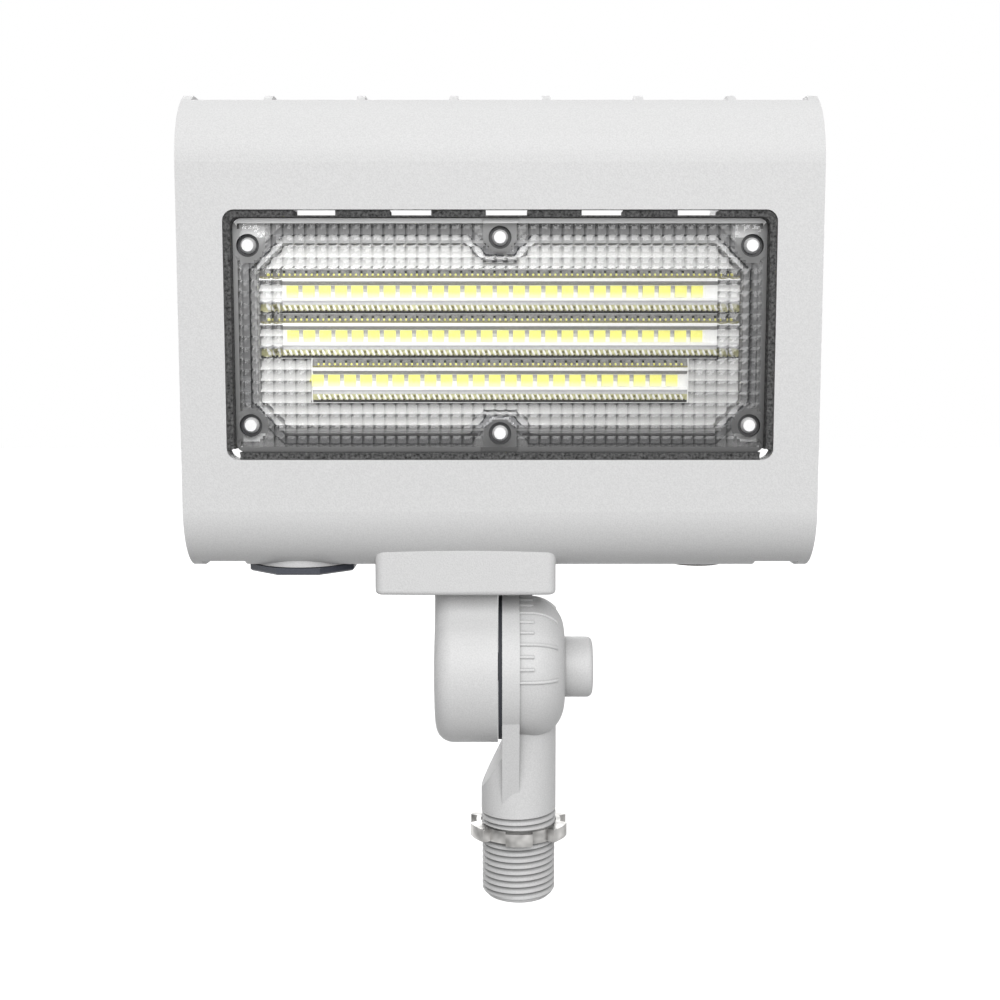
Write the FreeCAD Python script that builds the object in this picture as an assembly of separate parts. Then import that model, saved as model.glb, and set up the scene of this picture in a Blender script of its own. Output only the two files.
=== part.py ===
"""Knuckle-mounted LED flood light, modelled in millimetres.

The origin is on the axis of the threaded stem, at the lower end of its thread wall. Z is up, the light
looks along -Y and X is to the right of someone facing the lens. Depths in the head are measured back
from its flat front face, and widths from the middle of the head.
"""
import FreeCAD
import Part
import math
import os

V = FreeCAD.Vector
UP = V(0, 0, 1)
RIGHT = V(1, 0, 0)
BACK = V(0, 1, 0)

# Stem with its tapered pipe thread, half-inch size
STEM_RADIUS = 10.67
STEM_TIP_RADIUS = 10.4
STEM_TIP_CHAMFER = 1.4
FREE_THREAD = 16.0
WIRE_BORE_RADIUS = 7.5
WIRE_BORE_DEPTH = 29.0
WIRE_HOLE_RADIUS = 3.2
AXIS_HEIGHT = 65.0

# Conduit lock nut on the stem
NUT_LUGS = 6
NUT_LUG_RADIUS = 14.2
NUT_NECK_RADIUS = 12.1
NUT_LUG_WIDTH = 7.6
NUT_THICKNESS = 3.6
NUT_LIFT = 0.7
NUT_CLEARANCE = 0.15

# Arm casting: disc, dome with its angle scale, blind boss, web and stem
SEAL_RADIUS = 20.5
SEAL_BORE_RADIUS = 16.0
SEAL_THICKNESS = 1.1
TURN_GAP = 0.1
DISC_RADIUS = 20.8
DISC_THICKNESS = 4.8
DOME_RADIUS = 20.0
DOME_LENGTH = 12.8
DOME_STRAIGHT = 3.8
DOME_END_RADIUS = 9.5
BOSS_RADIUS = 8.6
BOSS_LENGTH = 8.0
BOSS_EDGE = 1.6
CABLE_RECESS_RADIUS = 15.0
CABLE_RECESS_DEPTH = 3.6
STEM_OFFSET = 4.75
WEB_HALF_WIDTH = 16.7
WEB_TOP_DROP = 12.3
WEB_FOOT_DROP = 33.7
WEB_TOE = 8.0
SLANT_TOP_DROP = 24.0
SLANT_FOOT_DROP = 34.8
TICK_STEP = 10
TICK_LONG_STEP = 30
TICK_LONG = 10.6
TICK_SHORT = 3.9
TICK_RADIUS = 0.5

# Base casting: barrel, neck and flange under the head
BARREL_RADIUS = 21.3
BARREL_LENGTH = 17.5
BARREL_EDGE = 5.0
NECK_DEPTH = 26.0
NECK_BLEND = 9.0
FLANGE_WIDTH = 48.9
FLANGE_DEPTH = 40.2
FLANGE_BULGE = 0.5
FLANGE_CORNER = 2.5
FLANGE_EDGE = 1.2
FLANGE_DROP = 7.0
HEAD_DROP = 31.0
BASE_RECESS_DEPTH = 6.5
BASE_WIRE_OFFSET = 4.0
FLANGE_SCREW_PITCH_X = 38.0
FLANGE_SCREW_PITCH_Y = 22.0

# Pivot bolt and its washers
BOLT_RADIUS = 4.0
BOLT_CLEARANCE = 0.25
BOLT_HEAD_RADIUS = 6.5
BOLT_HEAD_HEIGHT = 5.0
BOLT_TIP_GAP = 2.5
SPRING_WASHER_RADIUS = 7.0
SPRING_WASHER_THICKNESS = 2.0
SPRING_WASHER_SPLIT = 1.2
FLAT_WASHER_RADIUS = 8.0
FLAT_WASHER_THICKNESS = 1.6
WASHER_CLEARANCE = 0.2
COUNTERBORE_CLEARANCE = 0.4

# Head casting
HEAD_WIDTH = 168.0
HEAD_HEIGHT = 125.9
TOP_ARC = 20.4
TOP_FLAT_DROP = 1.6
BOTTOM_ARC = 16.3
AXIS_DEPTH = 24.4
HEAD_OFFSET = 5.35
BODY_DEPTH = 42.0
TOP_FLAT_END = 20.0
SHELL = 2.4
TOP_SHELL_END = 9.5
BOTTOM_SHELL_END = 9.0
END_WALL = 2.75
FIN_COUNT = 6
FIN_INSET = 8.275
FIN_THICKNESS = 2.2
END_BAY = 11.85
TOP_BAY_HEIGHT = 32.8
FLOOR_FRONT = 12.0
FLOOR_BACK = 16.0

# Window, lens and the seals round the lens
WINDOW_SIDE_EDGE = 12.0
WINDOW_TOP_EDGE = 30.87
WINDOW_BOTTOM_EDGE = 30.03
WINDOW_CORNER = 3.0
TUB_WALL = 2.2
LEDGE_DEPTH = 7.5
LENS_FRONT = 4.0
LENS_THICKNESS = 3.0
LENS_GAP = 1.9
LENS_CORNER = 2.2
LENS_HEAD_HOLE_RADIUS = 3.0
LENS_HEAD_HOLE_DEPTH = 1.6
GASKET_WIDTH = 2.4
GASKET_CLEARANCE = 0.1
GASKET_SIDE_INSET = 4.9
GASKET_TOP_INSET = 5.0
GASKET_CHAMFER = 9.6
GASKET_GROOVE_DEPTH = 1.5
GASKET_DETOUR = 5.1
GASKET_DETOUR_FLAT = 3.2
GASKET_WALL = 1.2
EDGE_SEAL_FRONT = 0.6
EDGE_SEAL_CLEARANCE = 0.1
VENT_COUNT = 5
VENT_SHIFT = 1.68
VENT_PITCH = 24.9
VENT_WIDTH = 10.8
VENT_SIDE_ROOM = 0.6
VENT_HEIGHT = 5.1
VENT_BITE = 1.45
DRAIN_RADIUS = 1.9
DRAIN_INSET_X = 1.6
DRAIN_INSET_Z = 1.0
DRAIN_SIDE_ROOM = 0.8

# Shape of every pan head: how much of its height is straight, and its flat top
PAN_BASE_SHARE = 0.4
PAN_TOP_SHARE = 0.74

# Screws that hold the lens
LENS_SCREW_RADIUS = 1.25
LENS_SCREW_HEAD_RADIUS = 2.1
LENS_SCREW_HEAD_HEIGHT = 1.9
LENS_SCREW_LENGTH = 8.0
LENS_SCREW_SIDE_INSET = 5.8
LENS_SCREW_CORNER_DROP = 8.9
LENS_SCREW_MIDDLE_DROP = 6.8

# Light engine
PAD_THICKNESS = 0.5
BOARD_THICKNESS = 1.6
BOARD_CLEARANCE = 0.4
ROW_PITCH = 11.8
LED_PITCH = 4.31
LED_SIZE = 3.1
LED_HEIGHT = 0.7
LED_SHIFT = -1.4
LED_END_ROOM = 7.8
SHORT_ROW_COUNT = 23
BAR_WIDTH = 11.4
BAR_TOP_WIDTH = 6.4
BAR_HEIGHT = 2.3
BAR_SHOULDER = 1.0
BAR_CHANNEL_WIDTH = 4.8
BAR_CHANNEL_HEIGHT = 1.2
BAR_END_GAP = 0.4
SHORT_BAR_END = 0.55

# Driver in the rear compartment
DRIVER_ROOM_BESIDE = 5.0
DRIVER_ROOM_ABOVE = 3.17
DRIVER_ROOM_BELOW = 8.53
DRIVER_ROOM_BEHIND = 5.0
DRIVER_CORNER = 3.0
DRIVER_TAB = 8.0
DRIVER_TAB_THICKNESS = 2.0
DRIVER_SCREW_RADIUS = 1.5
DRIVER_SCREW_HEAD_RADIUS = 2.8
DRIVER_SCREW_HEAD_HEIGHT = 2.0
DRIVER_SCREW_BITE = 3.0

# Rear cover
COVER_GASKET_THICKNESS = 1.0
COVER_THICKNESS = 3.0
COVER_CORNER = 4.0
COVER_RIB_HEIGHT = 3.0
COVER_RIB_THICKNESS = 2.0
COVER_RIB_COUNT = 11
COVER_BOSS_RADIUS = 4.4
COVER_BOSS_MERGE = 0.8
COVER_SCREW_RADIUS = 2.0
COVER_SCREW_HEAD_RADIUS = 3.8
COVER_SCREW_HEAD_HEIGHT = 2.6
COVER_SCREW_BITE = 10.0
COVER_BOSS_END = 1.5

# Screws between the flange and the head
FLANGE_SCREW_RADIUS = 2.0
FLANGE_SCREW_HEAD_RADIUS = 4.0
FLANGE_SCREW_HEAD_HEIGHT = 2.3
FLANGE_SCREW_SINK = 2.0
FLANGE_SINK_CLEARANCE = 0.4
FLANGE_SCREW_BITE = 7.0
FLANGE_BOSS_RADIUS = 4.5
FLANGE_BOSS_HEIGHT = 8.0
SCREW_HOLE_CLEARANCE = 0.2

# Wire entry between the flange and the head
O_RING_RADIUS = 7.3
O_RING_SECTION = 1.6
GROMMET_BORE_RADIUS = 2.6
GROMMET_HOLE_RADIUS = 4.2
GROMMET_LIP_RADIUS = 5.6
GROMMET_LIP = 1.2

# Ports in the underside of the head
PORT_WALL_GAP = 0.57
PORT_DEPTH = 22.9
PORT_BOSS_HEIGHT = 12.0
PORT_FIT = 0.2
SENSOR_BOSS_RADIUS = 14.1
SENSOR_BORE_RADIUS = 10.2
SENSOR_CAP_RADIUS = 14.4
SENSOR_CAP_SIDES = 8
SENSOR_CAP_THICKNESS = 1.9
SENSOR_CAP_EDGE = 0.5
SENSOR_SEAL_WIDTH = 2.0
SENSOR_SEAL_THICKNESS = 1.0
SENSOR_SEAL_STAND = 0.2
SENSOR_SPIGOT_WALL = 2.0
SENSOR_NUT_RADIUS = 13.2
PORT_NUT_THICKNESS = 3.5
PORT_SPIGOT_PROUD = 1.5
PHOTOCELL_RADIUS = 7.7
PHOTOCELL_BOSS_RADIUS = 9.4
PHOTOCELL_PROUD = 0.6
PHOTOCELL_WINDOW_THICKNESS = 2.2
PHOTOCELL_BODY_PROUD = 9.0
PHOTOCELL_NUT_RADIUS = 11.5

# Places worked out from the sizes above
CUT = 1.0
HEAD_X = -HEAD_OFFSET
FRONT_Y = -AXIS_DEPTH
HEAD_BOTTOM = AXIS_HEIGHT + HEAD_DROP
HEAD_TOP = HEAD_BOTTOM + HEAD_HEIGHT
BOX_WIDTH = HEAD_WIDTH - 2 * (END_WALL + END_BAY)
BOX_TOP_RISE = HEAD_HEIGHT - TOP_BAY_HEIGHT
WINDOW_WIDTH = HEAD_WIDTH - 2 * WINDOW_SIDE_EDGE
WINDOW_HEIGHT = HEAD_HEIGHT - WINDOW_TOP_EDGE - WINDOW_BOTTOM_EDGE
FIN_PITCH = (BOX_WIDTH - 2 * FIN_INSET) / (FIN_COUNT - 1)
COVER_RIB_PITCH = FIN_PITCH / 2
BOTTOM_ARC_Z = HEAD_BOTTOM + BOTTOM_ARC
TOP_ARC_Z = HEAD_TOP + TOP_FLAT_DROP - TOP_ARC
BOX_TOP = HEAD_BOTTOM + BOX_TOP_RISE
WINDOW_Z = HEAD_BOTTOM + WINDOW_BOTTOM_EDGE + WINDOW_HEIGHT / 2
LENS_BACK = LENS_FRONT + LENS_THICKNESS
LENS_SCREW_X = WINDOW_WIDTH / 2 - LENS_SCREW_SIDE_INSET
LENS_SCREW_Z = WINDOW_HEIGHT / 2 - LENS_SCREW_CORNER_DROP
LENS_SCREW_MID_Z = WINDOW_HEIGHT / 2 - LENS_SCREW_MIDDLE_DROP
GASKET_SIDE = WINDOW_WIDTH / 2 - GASKET_SIDE_INSET
GASKET_TOP = WINDOW_HEIGHT / 2 - GASKET_TOP_INSET
BOARD_INSET = GASKET_WIDTH / 2 + GASKET_CLEARANCE + GASKET_WALL + BOARD_CLEARANCE
LONG_BAR = 2 * (GASKET_SIDE - BOARD_INSET - BAR_END_GAP)
LONG_ROW_COUNT = 1 + int((LONG_BAR - LED_SIZE - 2 * LED_END_ROOM) / LED_PITCH)
SHORT_BAR = (SHORT_ROW_COUNT - 1) * LED_PITCH + LED_SIZE + 2 * SHORT_BAR_END
BOARD_BACK = FLOOR_FRONT - PAD_THICKNESS
BOARD_FRONT = BOARD_BACK - BOARD_THICKNESS
COVER_FRONT = BODY_DEPTH + COVER_GASKET_THICKNESS
COVER_SCREW_INSET = SHELL + COVER_BOSS_RADIUS - COVER_BOSS_MERGE
COVER_BACK = COVER_FRONT + COVER_THICKNESS
COVER_BOSS_LENGTH = COVER_SCREW_BITE + COVER_BOSS_END
DRIVER_WIDTH = BOX_WIDTH - 2 * (SHELL + DRIVER_ROOM_BESIDE + DRIVER_TAB)
DRIVER_DEPTH = BODY_DEPTH - FLOOR_BACK - DRIVER_ROOM_BEHIND
DRIVER_BOTTOM = HEAD_BOTTOM + PORT_BOSS_HEIGHT + PHOTOCELL_BODY_PROUD + DRIVER_ROOM_BELOW
DRIVER_TOP = BOX_TOP - COVER_SCREW_INSET - COVER_BOSS_RADIUS - DRIVER_ROOM_ABOVE
PORT_REACH = BOX_WIDTH / 2 - SHELL - PORT_WALL_GAP - SENSOR_NUT_RADIUS * math.sqrt(0.75)
DISC_LEFT = -STEM_OFFSET
DISC_RIGHT = DISC_LEFT + DISC_THICKNESS
DOME_RIGHT = DISC_RIGHT + DOME_LENGTH
BOSS_RIGHT = DOME_RIGHT + BOSS_LENGTH
BARREL_RIGHT = DISC_LEFT - SEAL_THICKNESS - TURN_GAP
BARREL_LEFT = BARREL_RIGHT - BARREL_LENGTH
FLANGE_X = (BARREL_LEFT + BARREL_RIGHT) / 2
FLANGE_BOTTOM = HEAD_BOTTOM - FLANGE_DROP
WIRE_X = BARREL_RIGHT - BASE_WIRE_OFFSET
WASHER_STACK = FLAT_WASHER_THICKNESS + SPRING_WASHER_THICKNESS
COUNTERBORE_FLOOR = BARREL_LEFT + BOLT_HEAD_HEIGHT + WASHER_STACK + TURN_GAP


def save(name, shape):
    """Write one node as a STEP file after a plain soundness test."""
    if not shape.isValid():
        raise ValueError(name + " is not a valid solid")
    shape.exportStep("parts/" + name + ".step")
    print(name, "solids", len(shape.Solids), "volume", round(shape.Volume, 1))


def head_point(across, depth, height):
    """A point given across the head, behind its front face and by its height."""
    return V(HEAD_X + across, FRONT_Y + depth, height)


def head_box(half_width, depth_from, depth_to, low, high, middle=0.0):
    """A block in the head, centred on a place across it."""
    corner = head_point(middle - half_width, depth_from, low)
    return Part.makeBox(2 * half_width, depth_to - depth_from, high - low, corner)


def post(radius, height, foot):
    """An upright cylinder."""
    return Part.makeCylinder(radius, height, foot, UP)


def ring(outer, inner, length, start, direction):
    """A plain ring along a direction."""
    return Part.makeCylinder(outer, length, start, direction).cut(
        Part.makeCylinder(inner, length, start, direction))


def side_slab(edges, left, right):
    """A side profile drawn at X = 0, pushed out between two places along X."""
    slab = Part.Face(Part.Wire(edges)).extrude(V(right - left, 0, 0))
    slab.translate(V(left, 0, 0))
    return slab


def side_point(depth, height):
    """A point of a side profile at X = 0, by depth behind the front face and height."""
    return V(0, FRONT_Y + depth, height)


def path_lines(points):
    """Straight edges through points in order, left open."""
    return [Part.LineSegment(a, b).toShape() for a, b in zip(points, points[1:])]


def rounded_panel(width, height, corner, depth_from, depth_to, middle_z=None):
    """A plate facing forward, centred on the head, with rounded corners."""
    middle_z = WINDOW_Z if middle_z is None else middle_z
    half_w = width / 2
    half_h = height / 2
    edges = []
    swing = corner * (1 - math.sqrt(0.5))
    for sign_x, sign_z in ((1, 1), (-1, 1), (-1, -1), (1, -1)):
        side = V(sign_x * half_w, 0, sign_z * (half_h - corner))
        middle = V(sign_x * (half_w - swing), 0, sign_z * (half_h - swing))
        top = V(sign_x * (half_w - corner), 0, sign_z * half_h)
        ends = (side, middle, top) if sign_x == sign_z else (top, middle, side)
        edges.append(Part.Arc(*ends).toShape())
    joins = []
    for first, second in zip(edges, edges[1:] + edges[:1]):
        joins += path_lines([first.lastVertex().Point, second.firstVertex().Point])
    loop = Part.Wire([edge for pair in zip(edges, joins) for edge in pair])
    panel = Part.Face(loop).extrude(V(0, depth_to - depth_from, 0))
    panel.translate(head_point(0, depth_from, middle_z))
    return panel


def gasket_path_panel(offset, depth_from, depth_to):
    """A plate with the outline of the gasket's middle line, moved out or in by an offset."""
    half = [V(0, 0, GASKET_TOP - GASKET_DETOUR),
            V(GASKET_DETOUR_FLAT, 0, GASKET_TOP - GASKET_DETOUR),
            V(GASKET_DETOUR_FLAT + GASKET_DETOUR, 0, GASKET_TOP),
            V(GASKET_SIDE - GASKET_CHAMFER, 0, GASKET_TOP),
            V(GASKET_SIDE, 0, GASKET_TOP - GASKET_CHAMFER)]
    right = half[1:] + [V(p.x, 0, -p.z) for p in reversed(half[1:])]
    loop = right + [V(-p.x, 0, p.z) for p in reversed(right)]
    face = Part.Face(Part.makePolygon(loop + loop[:1]))
    if offset:
        face = Part.Face(face.makeOffset2D(offset, 2).OuterWire)
    panel = face.extrude(V(0, depth_to - depth_from, 0))
    panel.translate(head_point(0, depth_from, WINDOW_Z))
    return panel


def pan_screw(head_radius, head_height, radius, length, seat, direction):
    """A pan head on a plain shank that runs along a direction, with its head on the seat."""
    shank = Part.makeCylinder(radius, length, seat, direction)
    base = head_height * PAN_BASE_SHARE
    back = direction * -1
    low = Part.makeCylinder(head_radius, base, seat, back)
    top_radius = head_radius * PAN_TOP_SHARE
    crown = Part.makeCone(head_radius, top_radius, head_height - base, seat + back * base, back)
    return shank.fuse([low, crown]).removeSplitter()


def pan_screws(head_radius, head_height, radius, length, seats, direction):
    """A group of like pan head screws, one for each seat."""
    screws = [pan_screw(head_radius, head_height, radius, length, seat, direction) for seat in seats]
    return Part.makeCompound(screws)


def lens_screw_places():
    """The six screw places on the lens, across and above the middle of the window."""
    places = [(x, z) for x in (-LENS_SCREW_X, LENS_SCREW_X) for z in (-LENS_SCREW_Z, LENS_SCREW_Z)]
    return places + [(0, -LENS_SCREW_MID_Z), (0, LENS_SCREW_MID_Z)]


def cover_screw_places():
    """Six places round the rear cover, across the head and by height."""
    reach = BOX_WIDTH / 2 - COVER_SCREW_INSET
    heights = (HEAD_BOTTOM + COVER_SCREW_INSET, BOX_TOP - COVER_SCREW_INSET)
    return [(across, height) for across in (-reach, 0, reach) for height in heights]


def flange_screw_places():
    """Four places under the flange, in X and Y."""
    return [(FLANGE_X + sx * FLANGE_SCREW_PITCH_X / 2, sy * FLANGE_SCREW_PITCH_Y / 2)
            for sx in (-1, 1) for sy in (-1, 1)]


def head_outer():
    """The full outside of the head casting: flat front, round top and bottom edges, sloping back."""
    rise = HEAD_TOP - TOP_ARC_Z
    top_start = TOP_ARC - math.sqrt(TOP_ARC ** 2 - rise ** 2)
    half_turn = math.atan2(rise, TOP_ARC - top_start) / 2
    top_middle = side_point(TOP_ARC - TOP_ARC * math.cos(half_turn),
                            TOP_ARC_Z + TOP_ARC * math.sin(half_turn))
    round_middle = BOTTOM_ARC * (1 - math.sqrt(0.5))
    bottom_middle = side_point(round_middle, HEAD_BOTTOM + round_middle)
    front_low = side_point(0, BOTTOM_ARC_Z)
    front_high = side_point(0, TOP_ARC_Z)
    flat_start = side_point(top_start, HEAD_TOP)
    bottom_start = side_point(BOTTOM_ARC, HEAD_BOTTOM)
    edges = [Part.LineSegment(front_low, front_high).toShape(),
             Part.Arc(front_high, top_middle, flat_start).toShape()]
    edges += path_lines([flat_start, side_point(TOP_FLAT_END, HEAD_TOP), side_point(BODY_DEPTH, BOX_TOP),
                         side_point(BODY_DEPTH, HEAD_BOTTOM), bottom_start])
    edges.append(Part.Arc(bottom_start, bottom_middle, front_low).toShape())
    return side_slab(edges, HEAD_X - HEAD_WIDTH / 2, HEAD_X + HEAD_WIDTH / 2)


def inner_top_arc():
    """The inside of the top shell from the front wall to the edge where the shell stops."""
    radius = TOP_ARC - SHELL
    stop_angle = math.acos((TOP_ARC - TOP_SHELL_END) / radius)
    places = [side_point(TOP_ARC - radius * math.cos(a), TOP_ARC_Z + radius * math.sin(a))
              for a in (0, stop_angle / 2, stop_angle)]
    return Part.Arc(*places).toShape()


def inner_bottom_arc(stop_depth):
    """The inside of the bottom shell from the front wall to a depth behind it."""
    radius = BOTTOM_ARC - SHELL
    stop_angle = math.acos((BOTTOM_ARC - stop_depth) / radius)
    places = [side_point(BOTTOM_ARC - radius * math.cos(a), BOTTOM_ARC_Z - radius * math.sin(a))
              for a in (stop_angle, stop_angle / 2, 0)]
    return Part.Arc(*places).toShape()


def top_bay(left, right):
    """The open space between two fins, behind the top shell and above the rear compartment."""
    arc = inner_top_arc()
    stop = arc.lastVertex().Point
    far = BODY_DEPTH + CUT
    start = arc.firstVertex().Point
    edges = [arc] + path_lines([stop, side_point(TOP_SHELL_END, HEAD_TOP + CUT),
                                side_point(far, HEAD_TOP + CUT), side_point(far, BOX_TOP),
                                side_point(SHELL, BOX_TOP), start])
    return side_slab(edges, HEAD_X + left, HEAD_X + right)


def end_bay(left, right):
    """The open space between an end wall and the rear compartment, open above, below and behind."""
    top = inner_top_arc()
    bottom = inner_bottom_arc(BOTTOM_SHELL_END)
    far = BODY_DEPTH + CUT
    edges = [bottom, Part.LineSegment(bottom.lastVertex().Point, top.firstVertex().Point).toShape(), top]
    edges += path_lines([top.lastVertex().Point, side_point(TOP_SHELL_END, HEAD_TOP + CUT),
                         side_point(far, HEAD_TOP + CUT), side_point(far, HEAD_BOTTOM - CUT),
                         side_point(BOTTOM_SHELL_END, HEAD_BOTTOM - CUT), bottom.firstVertex().Point])
    return side_slab(edges, HEAD_X + left, HEAD_X + right)


def rear_compartment():
    """The space for the driver, which runs forward under the light chamber to the front wall."""
    arc = inner_bottom_arc(BOTTOM_ARC)
    tub_bottom = WINDOW_Z - WINDOW_HEIGHT / 2 - TUB_WALL
    far = BODY_DEPTH + CUT
    half = BOX_WIDTH / 2 - SHELL
    edges = [arc] + path_lines([arc.lastVertex().Point, side_point(SHELL, tub_bottom),
                                side_point(FLOOR_BACK, tub_bottom), side_point(FLOOR_BACK, BOX_TOP - SHELL),
                                side_point(far, BOX_TOP - SHELL), side_point(far, HEAD_BOTTOM + SHELL),
                                arc.firstVertex().Point])
    return side_slab(edges, HEAD_X - half, HEAD_X + half)


def vent_slots(depth_from, depth_to, room=0.0):
    """The slots along the top edge of the window that let warm air rise between the fins."""
    low = WINDOW_Z + WINDOW_HEIGHT / 2 - VENT_BITE
    slots = []
    for number in range(VENT_COUNT):
        middle = VENT_SHIFT + (number - (VENT_COUNT - 1) / 2) * VENT_PITCH
        slots.append(head_box(VENT_WIDTH / 2 + room, depth_from, depth_to, low, low + VENT_HEIGHT, middle))
    return slots


def drain_holes(depth_from, depth_to, room=0.0):
    """Water drains in the two lower corners of the window."""
    height = WINDOW_Z - WINDOW_HEIGHT / 2 + DRAIN_INSET_Z
    reach = WINDOW_WIDTH / 2 - DRAIN_INSET_X
    return [Part.makeCylinder(DRAIN_RADIUS + room, depth_to - depth_from,
                              head_point(side * reach, depth_from, height), BACK) for side in (-1, 1)]


def housing():
    """The finned head casting with its light chamber in front and the driver compartment behind."""
    body = head_outer()
    wall_inside = HEAD_WIDTH / 2 - END_WALL
    box_side = BOX_WIDTH / 2
    fins = [(number - (FIN_COUNT - 1) / 2) * FIN_PITCH for number in range(FIN_COUNT)]
    fin_sides = [fin + side * FIN_THICKNESS / 2 for fin in fins for side in (-1, 1)]
    bay_ends = [-box_side] + fin_sides + [box_side]
    bays = [top_bay(bay_ends[i], bay_ends[i + 1]) for i in range(0, len(bay_ends), 2)]
    bays += [end_bay(-wall_inside, -box_side), end_bay(box_side, wall_inside)]
    body = body.cut(bays + [rear_compartment()])

    tub = rounded_panel(WINDOW_WIDTH + 2 * TUB_WALL, WINDOW_HEIGHT + 2 * TUB_WALL,
                        WINDOW_CORNER + TUB_WALL, SHELL, FLOOR_FRONT)
    bosses = []
    for across, height in cover_screw_places():
        bosses.append(Part.makeCylinder(COVER_BOSS_RADIUS, COVER_BOSS_LENGTH,
                                        head_point(across, BODY_DEPTH - COVER_BOSS_LENGTH, height), BACK))
    for x, y in flange_screw_places():
        bosses.append(post(FLANGE_BOSS_RADIUS, FLANGE_BOSS_HEIGHT, V(x, y, HEAD_BOTTOM + SHELL)))
    bosses.append(post(SENSOR_BOSS_RADIUS, PORT_BOSS_HEIGHT, sensor_port_foot()))
    bosses.append(post(PHOTOCELL_BOSS_RADIUS, PORT_BOSS_HEIGHT, photocell_foot()))
    body = body.fuse([tub] + bosses)

    cuts = [rounded_panel(WINDOW_WIDTH, WINDOW_HEIGHT, WINDOW_CORNER, -CUT, LEDGE_DEPTH)]
    groove_half = GASKET_WIDTH / 2 + GASKET_CLEARANCE
    cuts.append(gasket_path_panel(-groove_half - GASKET_WALL, LEDGE_DEPTH - CUT, FLOOR_FRONT))
    groove_floor = LEDGE_DEPTH + GASKET_GROOVE_DEPTH
    cuts.append(gasket_path_panel(groove_half, LEDGE_DEPTH - CUT, groove_floor).cut(
        gasket_path_panel(-groove_half, LEDGE_DEPTH - CUT, groove_floor)))
    cuts += vent_slots(SHELL, FLOOR_FRONT + CUT, VENT_SIDE_ROOM)
    cuts += drain_holes(LEDGE_DEPTH - CUT, FLOOR_BACK, DRAIN_SIDE_ROOM)
    screw_depth = LENS_FRONT + LENS_HEAD_HOLE_DEPTH + LENS_SCREW_LENGTH + CUT
    for across, rise in lens_screw_places():
        cuts.append(Part.makeCylinder(LENS_SCREW_RADIUS, screw_depth - LEDGE_DEPTH + CUT,
                                      head_point(across, LEDGE_DEPTH - CUT, WINDOW_Z + rise), BACK))
    for across, height in cover_screw_places():
        cuts.append(Part.makeCylinder(COVER_SCREW_RADIUS, COVER_SCREW_BITE + CUT,
                                      head_point(across, BODY_DEPTH - COVER_SCREW_BITE, height), BACK))
    for side in (-1, 1):
        screw_end = driver_screw_seat(side) - BACK * (DRIVER_TAB_THICKNESS + DRIVER_SCREW_BITE)
        cuts.append(Part.makeCylinder(DRIVER_SCREW_RADIUS, DRIVER_SCREW_BITE + CUT, screw_end, BACK))
    for x, y in flange_screw_places():
        cuts.append(post(FLANGE_SCREW_RADIUS, FLANGE_SCREW_BITE + CUT, V(x, y, HEAD_BOTTOM - CUT)))
    cuts.append(post(GROMMET_HOLE_RADIUS, SHELL + 2 * CUT, V(WIRE_X, 0, HEAD_BOTTOM - CUT)))
    below_sensor = sensor_port_foot() - UP * CUT
    cuts.append(post(SENSOR_BORE_RADIUS, PORT_BOSS_HEIGHT + 2 * CUT, below_sensor))
    seal_room = SENSOR_BORE_RADIUS + SENSOR_SEAL_WIDTH + PORT_FIT
    cuts.append(post(seal_room, SENSOR_SEAL_THICKNESS - SENSOR_SEAL_STAND + CUT, below_sensor))
    below_cell = photocell_foot() - UP * CUT
    cuts.append(post(PHOTOCELL_RADIUS + PORT_FIT, PORT_BOSS_HEIGHT + 2 * CUT, below_cell))
    return body.cut(cuts)


def lens_cover():
    """The clear front plate, with sunk holes for its six screw heads."""
    lens = rounded_panel(WINDOW_WIDTH - 2 * LENS_GAP, WINDOW_HEIGHT - 2 * LENS_GAP, LENS_CORNER,
                         LENS_FRONT, LENS_BACK)
    cuts = []
    for across, rise in lens_screw_places():
        place = head_point(across, LENS_FRONT, WINDOW_Z + rise)
        cuts.append(Part.makeCylinder(LENS_HEAD_HOLE_RADIUS, LENS_HEAD_HOLE_DEPTH, place, BACK))
        cuts.append(Part.makeCylinder(LENS_SCREW_RADIUS + SCREW_HOLE_CLEARANCE, LENS_THICKNESS,
                                      place, BACK))
    cuts += drain_holes(LENS_FRONT - CUT, LENS_BACK + CUT)
    return lens.cut(cuts)


def lens_screws():
    """Six small pan head screws through the lens into the ledge."""
    seat = LENS_FRONT + LENS_HEAD_HOLE_DEPTH
    seats = [head_point(across, seat, WINDOW_Z + rise) for across, rise in lens_screw_places()]
    return pan_screws(LENS_SCREW_HEAD_RADIUS, LENS_SCREW_HEAD_HEIGHT, LENS_SCREW_RADIUS,
                      LENS_SCREW_LENGTH, seats, BACK)


def lens_gasket():
    """The silicone cord in the groove behind the lens, led round the inside of every screw."""
    floor = LEDGE_DEPTH + GASKET_GROOVE_DEPTH
    outer = gasket_path_panel(GASKET_WIDTH / 2, LENS_BACK, floor)
    return outer.cut(gasket_path_panel(-GASKET_WIDTH / 2, LENS_BACK, floor))


def lens_edge_seal():
    """The dark strip that lines the window round the lens, open at the vents and the drains."""
    width = WINDOW_WIDTH - 2 * EDGE_SEAL_CLEARANCE
    height = WINDOW_HEIGHT - 2 * EDGE_SEAL_CLEARANCE
    strip = rounded_panel(width, height, WINDOW_CORNER - EDGE_SEAL_CLEARANCE,
                          EDGE_SEAL_FRONT, LEDGE_DEPTH)
    room = LENS_GAP - EDGE_SEAL_CLEARANCE
    hole = rounded_panel(WINDOW_WIDTH - 2 * room, WINDOW_HEIGHT - 2 * room, LENS_CORNER,
                         EDGE_SEAL_FRONT - CUT, LEDGE_DEPTH + CUT)
    reach = (EDGE_SEAL_FRONT - CUT, LEDGE_DEPTH + CUT)
    return strip.cut([hole] + vent_slots(*reach) + drain_holes(*reach))


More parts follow.
